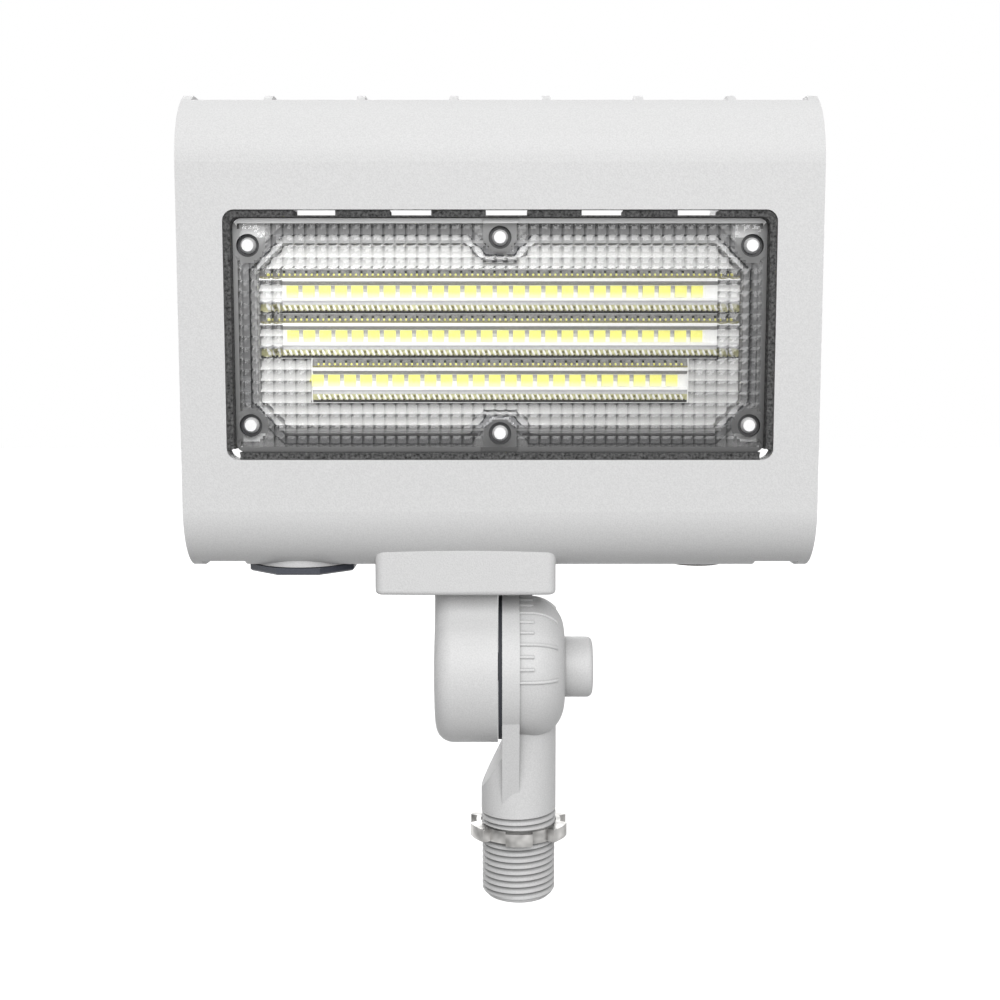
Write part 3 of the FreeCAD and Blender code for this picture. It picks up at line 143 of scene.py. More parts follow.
def soft_lamp(name, place, size, power):
    """A square soft lamp that faces the flood light."""
    data = bpy.data.lights.new(name, "AREA")
    data.shape = "SQUARE"
    data.size = size
    data.energy = power
    lamp = bpy.data.objects.new(name, data)
    lamp.location = place
    lamp.rotation_mode = "QUATERNION"
    lamp.rotation_quaternion = (lamp_target - Vector(place)).to_track_quat("-Z", "Y")
    bpy.context.scene.collection.objects.link(lamp)


soft_lamp("front_lamp", place=(0.16, -2.6, 1.36), size=1.75, power=58)
soft_lamp("top_lamp", place=(0.0, 0.0, 1.7), size=1.4, power=3.6)
soft_lamp("back_lamp", place=(-0.5, 1.9, 0.9), size=1.6, power=22)

# Floor. A sheet of grey paper well below the flood light, which is held by its stem. The camera
# sees it as plain white, and it throws little light back up.
floor_drop = 0.15
floor_half = 4.0
floor_grey = 0.25
floor_glow = 0.97
floor_form = bmesh.new()
bmesh.ops.create_grid(floor_form, x_segments=1, y_segments=1, size=floor_half,
                      matrix=Matrix.Translation((0, 0, cad_low.z - floor_drop)))
floor_mesh = bpy.data.meshes.new("floor")
floor_form.to_mesh(floor_mesh)
floor_form.free()
floor = bpy.data.objects.new("floor", floor_mesh)
bpy.context.scene.collection.objects.link(floor)
floor_paper = bpy.data.materials.new("floor_paper")
floor_paper.use_nodes = True
paper = floor_paper.node_tree
paper_base = paper.nodes["Principled BSDF"]
paper_base.inputs["Base Color"].default_value = (floor_grey, floor_grey, floor_grey, 1)
paper_base.inputs["Roughness"].default_value = 0.9
paper_light = paper.nodes.new("ShaderNodeEmission")
paper_sum = paper.nodes.new("ShaderNodeAddShader")
paper.links.new(calculate(paper, "MULTIPLY", seen_mask(paper), floor_glow), paper_light.inputs["Strength"])
paper.links.new(paper_base.outputs[0], paper_sum.inputs[0])
paper.links.new(paper_light.outputs[0], paper_sum.inputs[1])
paper.links.new(paper_sum.outputs[0], paper.nodes["Material Output"].inputs["Surface"])
floor_mesh.materials.append(floor_paper)

# Head casting. Die-cast aluminium with fins behind, under a white powder coat that has baked to a
# fine even speckle. The flange and barrel below it are cast and coated in the same way.
powder_grains = 2600
grain_range = (0.3, 0.7)
grain_height = 0.2 * mm
crease_reach = 9 * mm
crease_range = (0.35, 0.97)
crease_floor = 0.52


def value_group(name, inputs, outputs):
    """Start a shader node group with named values in and out."""
    group = bpy.data.node_groups.new(name, "ShaderNodeTree")
    for label, value in inputs.items():
        socket = group.interface.new_socket(label, in_out="INPUT", socket_type="NodeSocketFloat")
        socket.default_value = value
    for label in outputs:
        group.interface.new_socket(label, in_out="OUTPUT", socket_type="NodeSocketFloat")
    given = group.nodes.new("NodeGroupInput").outputs
    wanted = group.nodes.new("NodeGroupOutput").inputs
    return group, given, wanted


def powder_grain_group():
    """Fine speckle of a baked powder coat, as a shade from 0 to 1 and a height."""
    inputs = {"Grains per metre": powder_grains}
    group, given, wanted = value_group("powder_grain", inputs, ("Shade", "Height"))
    place = group.nodes.new("ShaderNodeTexCoord")
    grain = group.nodes.new("ShaderNodeTexNoise")
    grain.inputs["Detail"].default_value = 2
    grain.inputs["Roughness"].default_value = 0.6
    group.links.new(place.outputs["Object"], grain.inputs["Vector"])
    group.links.new(given["Grains per metre"], grain.inputs["Scale"])
    group.links.new(blend_range(group, grain.outputs["Fac"], *grain_range, 0, 1), wanted["Shade"])
    group.links.new(grain.outputs["Fac"], wanted["Height"])
    return group


def crease_shade_group():
    """Shade that gathers in the inner corners of a casting, from 1 on open faces down to a floor."""
    inputs = {"Reach": crease_reach, "Floor": crease_floor}
    group, given, wanted = value_group("crease_shade", inputs, ("Shade",))
    corner = group.nodes.new("ShaderNodeAmbientOcclusion")
    corner.only_local = True
    corner.samples = 8
    group.links.new(given["Reach"], corner.inputs["Distance"])
    shade = blend_range(group, corner.outputs["AO"], *crease_range, given["Floor"], 1)
    group.links.new(shade, wanted["Shade"])
    return group


def mix_colour(tree, factor, first, second, blend_type="MIX"):
    """Add a mix of two colours to a node tree."""
    node = tree.nodes.new("ShaderNodeMix")
    node.data_type = "RGBA"
    node.blend_type = blend_type
    for name, given in zip(("Factor", "A", "B"), (factor, first, second)):
        feed(tree, node.inputs[name], given)
    return node.outputs["Result"]


powder_grain = powder_grain_group()


def grained_material(name, dark, light, roughness, metallic=0.0, grains=powder_grains, bump=0.06,
                     gloss=0.5):
    """A coated or moulded surface whose colour runs between two tones with the grain."""
    material = bpy.data.materials.new(name)
    material.use_nodes = True
    tree = material.node_tree
    surface = tree.nodes["Principled BSDF"].inputs
    surface["Roughness"].default_value = roughness
    surface["Metallic"].default_value = metallic
    surface["Specular IOR Level"].default_value = gloss
    grain = tree.nodes.new("ShaderNodeGroup")
    grain.node_tree = powder_grain
    grain.inputs["Grains per metre"].default_value = grains
    relief = tree.nodes.new("ShaderNodeBump")
    relief.inputs["Strength"].default_value = bump
    relief.inputs["Distance"].default_value = grain_height
    tone = mix_colour(tree, grain.outputs["Shade"], (*dark, 1), (*light, 1))
    tree.links.new(tone, surface["Base Color"])
    tree.links.new(grain.outputs["Height"], relief.inputs["Height"])
    tree.links.new(relief.outputs["Normal"], surface["Normal"])
    return material


def lay_over(material, factor, colour, blend_type="MIX"):
    """Lay a colour or a shade over the base colour of a material."""
    tree = material.node_tree
    base = tree.nodes["Principled BSDF"].inputs["Base Color"]
    tree.links.new(mix_colour(tree, factor, base.links[0].from_socket, colour, blend_type), base)


def dress(material, *names):
    """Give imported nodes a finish."""
    for name in names:
        slots = nodes[name].data.materials
        slots.clear()
        slots.append(material)


white_coat = grained_material("white_coat", (0.75, 0.75, 0.75), (0.85, 0.85, 0.85),
                              roughness=0.5, bump=0.25)
creases = white_coat.node_tree.nodes.new("ShaderNodeGroup")
creases.node_tree = crease_shade_group()
lay_over(white_coat, 1, creases.outputs["Shade"], "MULTIPLY")
dress(white_coat, "housing", "rear_cover", "knuckle_base")

# Rubber seals. Dark silicone: the knuckle ring and the small seals at the ports and the wire entry.
# The strip round the lens is a coarser foamed rubber, coloured near black as painted shade in the gap round
# the lens.
dark_seal = grained_material("dark_seal", (0.018, 0.02, 0.026), (0.034, 0.037, 0.047),
                             roughness=0.7, bump=0.1)
dress(dark_seal, "knuckle_seal", "rear_cover_gasket", "sensor_port_seal", "flange_o_ring", "wire_grommet")
# Painted shade: the strip's near-black colour stands for the shadow deep in the gap.
gap_shade_rubber = grained_material("gap_shade_rubber", (0.0, 0.0, 0.0), (0.17, 0.17, 0.17),
                               roughness=0.9, grains=1300, bump=0.3)
dress(gap_shade_rubber, "lens_edge_seal")

# Screws. Bright steel pan heads hold the lens. Those of the rear cover, the flange and the driver
# are coated white.
bright_steel = grained_material("bright_steel", (0.96, 0.96, 0.96), (1.0, 1.0, 1.0),
                                roughness=0.6, metallic=0.2, bump=0.01)
dress(bright_steel, "lens_screws")
white_screw = grained_material("white_screw", (0.9, 0.9, 0.9), (0.95, 0.95, 0.95), roughness=0.35)
dress(white_screw, "rear_cover_screws", "flange_screws", "driver_screws")

# Lamp board. A metal-core circuit board with a white mask, on a grey pad that carries its heat
# into the casting.
board_white = grained_material("board_white", (0.86, 0.86, 0.85), (0.92, 0.92, 0.91),
                               roughness=0.6, grains=1500)
dress(board_white, "led_board")
heat_pad = grained_material("heat_pad", (0.34, 0.38, 0.42), (0.4, 0.44, 0.48), roughness=0.8)
dress(heat_pad, "thermal_pad")

# Lamp chips. Square packages filled with yellow phosphor, in three rows on the board. The prism bars
# throw light back on their lower edge, which is painted paler as painted light.
row_pitch = 11.8 * mm
chip_size = 3.1 * mm
painted_light_part = 0.13
painted_light_phosphor = (1.0, 0.99, 0.55, 1)
window_low, window_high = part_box("lens_cover")
window_x = (window_low.x + window_high.x) / 2
window_z = (window_low.z + window_high.z) / 2


def place_parts(tree):
    """Add the three object coordinates to a node tree."""
    place = tree.nodes.new("ShaderNodeTexCoord")
    parts = tree.nodes.new("ShaderNodeSeparateXYZ")
    tree.links.new(place.outputs["Object"], parts.inputs[0])
    return parts.outputs


def part_of_cell(tree, value, start, pitch):
    """Add the place within a repeated cell, from 0 to 1."""
    run = calculate(tree, "SUBTRACT", value, start)
    return calculate(tree, "FRACT", calculate(tree, "DIVIDE", run, pitch))


phosphor = grained_material("phosphor", (0.93, 0.9, 0.16), (0.99, 0.97, 0.24), roughness=0.6)
chip_tree = phosphor.node_tree
chip_rise = part_of_cell(chip_tree, place_parts(chip_tree)["Z"], window_z - 1.5 * row_pitch, row_pitch)
chip_foot = 0.5 - chip_size / 2 / row_pitch
# Painted light: the lower edge of each chip is painted paler.
lay_over(phosphor, blend_range(chip_tree, chip_rise, chip_foot, chip_foot + painted_light_part, 1, 0), painted_light_phosphor)
dress(phosphor, "led_chips")

# Lens gasket. A cord of grey silicone pressed flat by the lens. Its shoulders, where it dips into its
# groove, are painted dark as painted shade. Made from the imported cord, whose front is inset to part
# the shoulders off.
cord_shoulder = 0.4 * mm
front_facing = -0.9
merge_gap = 0.001 * mm
grey_seal = grained_material("grey_seal", (0.34, 0.34, 0.35), (0.46, 0.46, 0.47),
                             roughness=0.7, bump=0.1)
cord_materials = [grey_seal, dark_seal]
CORD, SHADED_SHOULDER = range(2)


def finish_piece(name, form, body, replaced, materials):
    """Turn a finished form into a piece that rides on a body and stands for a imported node."""
    mesh = bpy.data.meshes.new(name)
    form.to_mesh(mesh)
    form.free()
    for material in materials:
        mesh.materials.append(material)
    piece = bpy.data.objects.new(name, mesh)
    bpy.context.scene.collection.objects.link(piece)
    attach(piece, body)
    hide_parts(replaced)
    return piece


def drop_packed_normals(piece):
    """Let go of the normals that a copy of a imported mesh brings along."""
    packed = piece.data.attributes.get("custom_normal")
    if packed is not None:
        piece.data.attributes.remove(packed)


cord = bmesh.new()
cord.from_mesh(nodes["lens_gasket"].data)
bmesh.ops.remove_doubles(cord, verts=cord.verts, dist=merge_gap)
cord_front = [face for face in cord.faces if face.normal.y < front_facing]
shoulders = bmesh.ops.inset_region(cord, faces=cord_front, thickness=cord_shoulder, use_boundary=True,
                                   use_even_offset=True)["faces"]
for face in cord.faces:
    face.smooth = False
    face.material_index = CORD
# Painted shade: the shoulders take the dark seal's colour.
for face in shoulders:
    face.material_index = SHADED_SHOULDER
cord_piece = finish_piece("gasket_cord", cord, "head", "lens_gasket", cord_materials)
drop_packed_normals(cord_piece)

# Prism bars. Two clear rails beside each row of chips, moulded in one strip. Their facets are painted
# with what the clear prism shows of the board and the phosphor, as bands: bright ones as painted
# highlights, grey and dark ones as painted shade, with a row of painted dots above and painted teeth below.
# Being clear, they throw no shadow on the chips.
bar_reach = 9.9
face_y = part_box("led_board")[0].y - bar_reach * mm
bar_low, bar_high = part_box("linear_optics")
long_half = (bar_high.x - bar_low.x) / 2
short_half = 50.0 * mm
chip_low, chip_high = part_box("led_chips")
chip_x = (chip_low.x + chip_high.x) / 2
long_shade = (chip_high.x - chip_low.x) / 2
short_shade = short_half - 1 * mm
cell_pitch = 2.935 * mm
dot_pitch = cell_pitch / 2
long_flat = 19.5 * cell_pitch
short_flat = 17 * cell_pitch
# Painted highlights and painted shade for the facets, from bright to dark.
bar_painted_tones = {
    "bar_glint": ((0.86, 0.86, 0.86), (0.93, 0.93, 0.93)),
    "bar_grey": ((0.28, 0.28, 0.285), (0.34, 0.34, 0.345)),
    "bar_dark": ((0.003, 0.003, 0.002), (0.01, 0.01, 0.007)),
    "bar_olive": ((0.15, 0.14, 0.04), (0.26, 0.24, 0.1)),
    "bar_amber": ((0.7, 0.66, 0.1), (0.95, 0.92, 0.25)),
    "bar_stone": ((0.12, 0.12, 0.115), (0.27, 0.27, 0.26)),
    "bar_straw": ((0.36, 0.35, 0.16), (0.72, 0.7, 0.4)),
    "bar_haze": ((0.36, 0.36, 0.37), (0.42, 0.42, 0.43)),
    "bar_veil": ((0.5, 0.5, 0.5), (0.62, 0.62, 0.62)),
}
bar_painted_materials = [grained_material(name, dark, light, roughness=0.4, grains=900, gloss=0.0)
                 for name, (dark, light) in bar_painted_tones.items()]
GLINT, GREY, DARK, OLIVE, AMBER, STONE, STRAW, HAZE, VEIL = range(9)

# The corners of a rail's facets, in mm, as the height over the row and the depth behind the bars' front.
upper_rail = [(1.75, bar_reach), (1.85, 8.7), (2.65, 7.7), (3.5, 7.65), (3.95, 7.8), (5.85, 8.6),
              (5.9, bar_reach)]
upper_tones = [GREY, GREY, GLINT, OLIVE, STONE, DARK]
lower_rail = [(-1.62, bar_reach), (-1.62, 8.9), (-2.4, 7.7), (-2.95, 7.65), (-3.55, 7.75), (-5.1, 8.3),
              (-5.75, 8.6), (-5.75, bar_reach)]
lower_tones = [GLINT, GLINT, HAZE, VEIL, STRAW, DARK, GREY]
# Painted shade on the board between the chips, over the upper half of each row.
chip_shade = [(-0.2, 9.82), (0.7, 9.81), (1.62, 9.8)]
chip_tones = [VEIL, HAZE]
nub_height = 0.3 * mm
tooth_lean = 24
bars = bmesh.new()


def rail(corners, tones, row_z, half, middle_x=window_x):
    """Extrude a chain of facets along a row."""
    start_x = middle_x - half
    chain = [bars.verts.new((start_x, face_y + depth * mm, row_z + up * mm)) for up, depth in corners]
    edges = [bars.edges.new(pair) for pair in zip(chain, chain[1:])]
    grown = bmesh.ops.extrude_edge_only(bars, edges=edges)["geom"]
    ends = [item for item in grown if isinstance(item, bmesh.types.BMVert)]
    bmesh.ops.translate(bars, verts=ends, vec=(2 * half, 0, 0))
    for edge, tone in zip(edges, tones):
        edge.link_faces[0].material_index = tone


def nubs(row_z, half, pitch, tone, up, depth, radius, tip, sides=6, turn=0, slim=1.0, shift=0.0):
    """A row of small facets, with sizes in mm, that stand up from a rail."""
    count = int(2 * half / pitch) - 1
    upright = Matrix.Rotation(math.radians(90), 4, "X") @ Matrix.Rotation(math.radians(turn), 4, "Z")
    stand = upright @ Matrix.Diagonal((slim, 1, 1, 1))
    for index in range(count):
        x = window_x + (index - (count - 1) / 2 + shift) * pitch
        place = Matrix.Translation((x, face_y + depth * mm, row_z + up * mm))
        made = bmesh.ops.create_cone(bars, cap_ends=True, segments=sides, radius1=radius * mm,
                                     radius2=tip * mm, depth=nub_height, matrix=place @ stand)
        for face in {face for vert in made["verts"] for face in vert.link_faces}:
            face.material_index = tone


bar_rows = [(row_pitch, long_half, long_shade, long_flat), (0, long_half, long_shade, long_flat),
            (-row_pitch, short_half, short_shade, short_flat)]
for rise, half, shade_half, _ in bar_rows:
    row_z = window_z + rise
    rail(upper_rail, upper_tones, row_z, half)
    rail(lower_rail, lower_tones, row_z, half)
    rail(chip_shade, chip_tones, row_z, shade_half, chip_x)
    nubs(row_z, half, dot_pitch, AMBER, up=4.3, depth=7.95, radius=0.42, tip=0.2)
    nubs(row_z, half, cell_pitch, DARK, up=5.1, depth=8.25, radius=0.5, tip=0.4, sides=4, turn=45)
    nubs(row_z, half, dot_pitch, GLINT, up=-4.25, depth=7.9, radius=1.0, tip=0.8, turn=tooth_lean,
         slim=0.36)
    nubs(row_z, half, dot_pitch, DARK, up=-5.05, depth=8.2, radius=0.42, tip=0.35, sides=3, turn=90,
         shift=0.55)
    nubs(row_z, half, cell_pitch, OLIVE, up=-4.1, depth=7.85, radius=0.45, tip=0.3, turn=tooth_lean,
         shift=0.25)
bar_piece = finish_piece("prism_bars", bars, "head", "linear_optics", bar_painted_materials)
bar_piece.visible_shadow = False

# Front lens. One moulded sheet of clear acrylic: small square pillows round the bars, flat over them
# and round the screws, with six stepped screw holes. Frosted where it lies over the gasket. Painted shade
# greys it there and in a band at the sides and foot of the board, and darkens it towards its foot and
# right end and over each pillow; a painted dark line runs along its foot, and painted light brightens
# two frosted rows and the top of its edge.
cells_across = 47
cells_up = 20
cell_steps = 4
field_x = cells_across * cell_pitch / 2
field_z = cells_up * cell_pitch / 2
pillow_depth = 0.24 * mm
lens_half_x = (window_high.x - window_low.x) / 2
lens_half_z = (window_high.z - window_low.z) / 2
lens_corner = 2.2 * mm
lens_thickness = window_high.y - window_low.y
acrylic_ior = 1.49
acrylic_gloss = 0.03
left_side_light = 1.1
right_side_shade = 0.8
pillow_range = (0.1, 0.9)
seam_width = 0.3
darkest_tone = 0.06


def pillow_shade_group():
    """Painted shade on the lens: darker towards its foot and its right end, and over the upper part and
    left edge of each pillow.
    """
    inputs = dict.fromkeys(("Foot shade", "Top shade", "Foot pillow shade", "Top pillow shade", "Seam"), 0.0)
    group, given, wanted = value_group("pillow_shade", inputs, ("Tone",))
    parts = place_parts(group)
    rise = blend_range(group, parts["Z"], window_low.z, window_high.z, 0, 1)
    fall = calculate(group, "SUBTRACT", 1.0, rise)
    side_shade = blend_range(group, parts["X"], window_low.x, window_high.x, left_side_light, right_side_shade)
    across = part_of_cell(group, parts["X"], window_x - field_x, cell_pitch)
    upward = part_of_cell(group, parts["Z"], window_z - field_z, cell_pitch)

    def foot_to_top(foot, top):
        low_share = calculate(group, "MULTIPLY", fall, foot)
        high_share = calculate(group, "MULTIPLY", rise, top)
        return calculate(group, "ADD", low_share, high_share)

    shaded_tint = calculate(group, "MULTIPLY", foot_to_top(given["Foot shade"], given["Top shade"]), side_shade)
    cell_shade = foot_to_top(given["Foot pillow shade"], given["Top pillow shade"])
    height_shade = calculate(group, "MULTIPLY", cell_shade, blend_range(group, upward, *pillow_range, 0, 1))
    at_seam = blend_range(group, across, 0, seam_width, 1, 0)
    seam_shade = calculate(group, "MULTIPLY", given["Seam"], at_seam)
    shade = calculate(group, "SUBTRACT", calculate(group, "SUBTRACT", 1.0, height_shade), seam_shade)
    tone = calculate(group, "MULTIPLY", shaded_tint, calculate(group, "MAXIMUM", shade, darkest_tone))
    group.links.new(tone, wanted["Tone"])
    return group


pillow_shade = pillow_shade_group()


def clear_material(name, shaded_tints, shadow, roughness, clearness=1.0, cell_shade=(0.0, 0.0), seam_shade_depth=0.0, mirror=0.0):
    """Clear or frosted plastic that lets the lamps through, with painted shade given at its foot and top.
    """
    material = bpy.data.materials.new(name)
    material.use_nodes = True
    tree = material.node_tree
    surface = tree.nodes["Principled BSDF"]
    surface.inputs["Roughness"].default_value = roughness
    surface.inputs["Metallic"].default_value = mirror
    surface.inputs["Transmission Weight"].default_value = clearness
    surface.inputs["IOR"].default_value = acrylic_ior
    surface.inputs["Specular IOR Level"].default_value = acrylic_gloss
    shaded_tint = tree.nodes.new("ShaderNodeGroup")
    shaded_tint.node_tree = pillow_shade
    for socket, value in zip(shaded_tint.inputs, (*shaded_tints, *cell_shade, seam_shade_depth)):
        socket.default_value = value
    path = tree.nodes.new("ShaderNodeLightPath")
    hole = tree.nodes.new("ShaderNodeBsdfTransparent")
    hole.inputs["Color"].default_value = (shadow, shadow, shadow, 1)
    mix = tree.nodes.new("ShaderNodeMixShader")
    tree.links.new(shaded_tint.outputs["Tone"], surface.inputs["Base Color"])
    tree.links.new(path.outputs["Is Shadow Ray"], mix.inputs["Fac"])
    tree.links.new(surface.outputs[0], mix.inputs[1])
    tree.links.new(hole.outputs[0], mix.inputs[2])
    tree.links.new(mix.outputs[0], tree.nodes["Material Output"].inputs["Surface"])
    return material


# Every lens finish carries painted shade from the pillow shade group, given at foot and top.
lens_clear = clear_material("lens_clear", shaded_tints=(0.92, 0.98), shadow=0.99, roughness=0.02)
lens_cell = clear_material("lens_cell", shaded_tints=(0.46, 0.91), shadow=0.99, roughness=0.02,
                           cell_shade=(0.9, 0.65), seam_shade_depth=0.25)
# Painted shade: a dark band along the sides and foot of the board, inside the gasket line.
lens_band_shade = clear_material("lens_band_shade", shaded_tints=(0.12, 0.11), shadow=0.99, roughness=0.05,
                           cell_shade=(0.7, 0.5), seam_shade_depth=0.45)
# Painted shade: the rim beyond the gasket is painted grey, as shade on the ledge behind.
lens_rim = clear_material("lens_rim", shaded_tints=(0.17, 0.44), shadow=0.75, roughness=0.5, clearness=0.3)
# Painted light and shade: the outer edge is painted bright at the top and dark at the foot.
rim_edge = clear_material("rim_edge", shaded_tints=(0.11, 1.0), shadow=0.75, roughness=0.5, clearness=0.1,
                          mirror=0.26)
# Painted shade: the pillows over the gasket are painted grey.
rim_cell = clear_material("rim_cell", shaded_tints=(0.2, 0.52), shadow=0.75, roughness=0.12, clearness=0.6,
                          cell_shade=(0.5, 0.4), seam_shade_depth=0.7)
lens_shade = grained_material("lens_shade", (0.02, 0.02, 0.022), (0.04, 0.04, 0.044), roughness=0.4)
# Painted shade: a dark line along the lowest row of pillows.
lens_shade_line = clear_material("lens_shade_line", shaded_tints=(0.04, 0.04), shadow=0.9, roughness=0.3, clearness=0.5)
# Painted light: a bright frosted row of pillows near the top and near the foot.
lens_frost_light = clear_material("lens_frost_light", shaded_tints=(0.75, 1.0), shadow=0.9, roughness=0.4, clearness=0.3,
                            cell_shade=(0.95, 0.85), seam_shade_depth=0.25)
lens_materials = [lens_clear, lens_rim, lens_shade, lens_cell, rim_cell, rim_edge, lens_band_shade, lens_frost_light,
                  lens_shade_line]
CLEAR, RIM, SHADE, CELL, RIM_CELL, RIM_EDGE, SHADED_BAND, LIT_FROST, SHADE_LINE = range(9)

# The screws' places, and the lines at which the lens changes its finish, from the middle of the window.
screw_low, screw_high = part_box("lens_screws")
screw_head = 2.1 * mm
screw_x = (screw_high.x - screw_low.x) / 2 - screw_head
screw_mid_z = (screw_high.z - screw_low.z) / 2 - screw_head
screw_corner_drop = 2.1 * mm
screw_corner_z = screw_mid_z - screw_corner_drop
screw_places = [(sx * screw_x, sz * screw_corner_z) for sx in (-1, 1) for sz in (-1, 1)]
screw_places += [(0, screw_mid_z), (0, -screw_mid_z)]
boss_radius = 4.6 * mm
flat_slack = 0.01 * mm
gasket_x = 66.2 * mm
gasket_z = 26.4 * mm
gasket_corner = 9.6 * mm
detour_half = 6.5 * mm
detour_drop = 4.6 * mm
patch_rise = 2.4 * mm
patch_x = 68.6 * mm
patch_z = 29.3 * mm
band_x = 63.7 * mm
band_foot = -23.9 * mm
frost_z = 24.6 * mm
frost_half = 0.4 * mm
shade_line_foot = -25.7 * mm


def lens_is_flat(x, z):
    """The smooth parts: over the bars, round the screws and up to the edge at the middle screws."""
    over_bar = any(abs(z - rise) < row_pitch / 2 and abs(x) < flat + flat_slack
                   for rise, _, _, flat in bar_rows)
    at_screw = any(math.hypot(x - sx, z - sz) < boss_radius for sx, sz in screw_places)
    at_middle = abs(x) < boss_radius and abs(z) > screw_mid_z
    return over_bar or at_screw or at_middle


def lens_is_rim(x, z):
    """Outside the line of the gasket, which cuts its corners and goes round the middle screws."""
    corner_sum = gasket_x + gasket_z - gasket_corner
    outside = abs(x) > gasket_x or abs(z) > gasket_z or abs(x) + abs(z) > corner_sum
    at_detour = abs(x) + max(0, gasket_z - abs(z)) < detour_half and abs(z) > gasket_z - detour_drop
    beyond_screw = abs(z) > screw_corner_z + patch_rise and abs(x) > screw_x - boss_radius
    clear_patch = beyond_screw and abs(z) < patch_z and abs(x) < patch_x
    return (outside or at_detour) and not clear_patch


def lens_finish(x, z, pillowed):
    """The finish of one face of the lens, by its place."""
    if lens_is_rim(x, z):
        if abs(z) > field_z:
            return RIM_EDGE
        return RIM_CELL if pillowed else RIM
    if not pillowed or z > gasket_z:
        return CLEAR
    if z < shade_line_foot and abs(x) < screw_x - boss_radius:
        return SHADE_LINE
    if abs(abs(z) - frost_z) < frost_half and abs(x) < band_x:
        return LIT_FROST
    return SHADED_BAND if abs(x) > band_x or z < band_foot else CELL


lens = bmesh.new()
bmesh.ops.create_grid(lens, x_segments=cells_across * cell_steps, y_segments=cells_up * cell_steps,
                      size=0.5)
field = Matrix.Diagonal((2 * field_x, 2 * field_z, 1, 1))
bmesh.ops.transform(lens, matrix=field, verts=lens.verts)
for vert in lens.verts:
    if lens_is_flat(vert.co.x, vert.co.y):
        continue
    across = 2 * ((vert.co.x / cell_pitch + cells_across / 2) % 1) - 1
    upward = 2 * ((vert.co.y / cell_pitch + cells_up / 2) % 1) - 1
    vert.co.z = -pillow_depth * (1 - (1 - across ** 2) * (1 - upward ** 2))
border = [edge for edge in lens.edges if edge.is_boundary]
grown = bmesh.ops.extrude_edge_only(lens, edges=border)["geom"]
edge_verts = [item for item in grown if isinstance(item, bmesh.types.BMVert)]
stretch = Matrix.Diagonal((lens_half_x / field_x, lens_half_z / field_z, 0, 1))
bmesh.ops.transform(lens, matrix=stretch, verts=edge_verts)
for vert in edge_verts:
    arc_x = math.copysign(lens_half_x - lens_corner, vert.co.x)
    arc_z = math.copysign(lens_half_z - lens_corner, vert.co.y)
    if abs(vert.co.x) > abs(arc_x) and abs(vert.co.y) > abs(arc_z):
        outward = (vert.co - Vector((arc_x, arc_z, 0))).normalized()
        vert.co = Vector((arc_x, arc_z, 0)) + outward * lens_corner
rim_edges = [edge for edge in lens.edges if edge.is_boundary]
grown = bmesh.ops.extrude_edge_only(lens, edges=rim_edges)["geom"]
back_verts = [item for item in grown if isinstance(item, bmesh.types.BMVert)]
bmesh.ops.translate(lens, verts=back_verts, vec=(0, 0, -lens_thickness))
bmesh.ops.edgeloop_fill(lens, edges=[edge for edge in lens.edges if edge.is_boundary])
for face in lens.faces:
    middle = face.calc_center_median()
    in_field = abs(middle.x) < field_x and abs(middle.y) < field_z and middle.z > -lens_thickness / 2
    pillowed = in_field and not lens_is_flat(middle.x, middle.y)
    face.material_index = lens_finish(middle.x, middle.y, pillowed)
for edge in lens.edges:
    edge.smooth = len({face.material_index in (CLEAR, RIM) for face in edge.link_faces}) == 1
bmesh.ops.recalc_face_normals(lens, faces=lens.faces)
stand_up = Matrix.Rotation(math.radians(90), 4, "X")
bmesh.ops.transform(lens, matrix=Matrix.Translation((window_x, window_low.y, window_z)) @ stand_up,
                    verts=lens.verts)
lens_piece = finish_piece("pillow_lens", lens, "head", "lens_cover", lens_materials)

# The lens's screw holes, each a wide one for the head and a narrow one for the shank, painted
# dark inside as painted shade.
head_hole = (3.0 * mm, 1.6 * mm)
shank_hole = (1.45 * mm, lens_thickness)
drill_lead = 1 * mm
drills = bmesh.new()
for x, z in screw_places:
    for radius, depth in (head_hole, shank_hole):
        reach = depth + drill_lead
        hole = Matrix.Translation((window_x + x, window_low.y + depth - reach / 2, window_z + z))
        bmesh.ops.create_cone(drills, cap_ends=True, segments=32, radius1=radius, radius2=radius,
                              depth=reach, matrix=hole @ stand_up)
bmesh.ops.recalc_face_normals(drills, faces=drills.faces)
# Painted shade on every wall and floor of the holes.
for face in drills.faces:
    face.material_index = SHADE
drill_mesh = bpy.data.meshes.new("lens_drills")
drills.to_mesh(drill_mesh)
drills.free()
for material in lens_materials:
    drill_mesh.materials.append(material)
drill = bpy.data.objects.new("lens_drills", drill_mesh)
bpy.context.scene.collection.objects.link(drill)
drilling = lens_piece.modifiers.new("screw_holes", "BOOLEAN")
drilling.operation = "DIFFERENCE"
drilling.solver = "EXACT"
drilling.use_self = True
drilling.object = drill
bpy.context.view_layer.update()
drilled = lens_piece.evaluated_get(bpy.context.evaluated_depsgraph_get())
drilled_mesh = bpy.data.meshes.new_from_object(drilled)
lens_piece.modifiers.clear()
lens_piece.data = drilled_mesh
bpy.data.objects.remove(drill)

# Driver and photocell. Moulded bodies of black plastic: the driver is screwed into the rear
# compartment, and nuts hold the photocell and the port cap.
black_plastic = grained_material("black_plastic", (0.02, 0.02, 0.02), (0.035, 0.035, 0.035),
                                 roughness=0.5)
dress(black_plastic, "driver_case", "photocell_body", "sensor_port_nut", "photocell_nut")

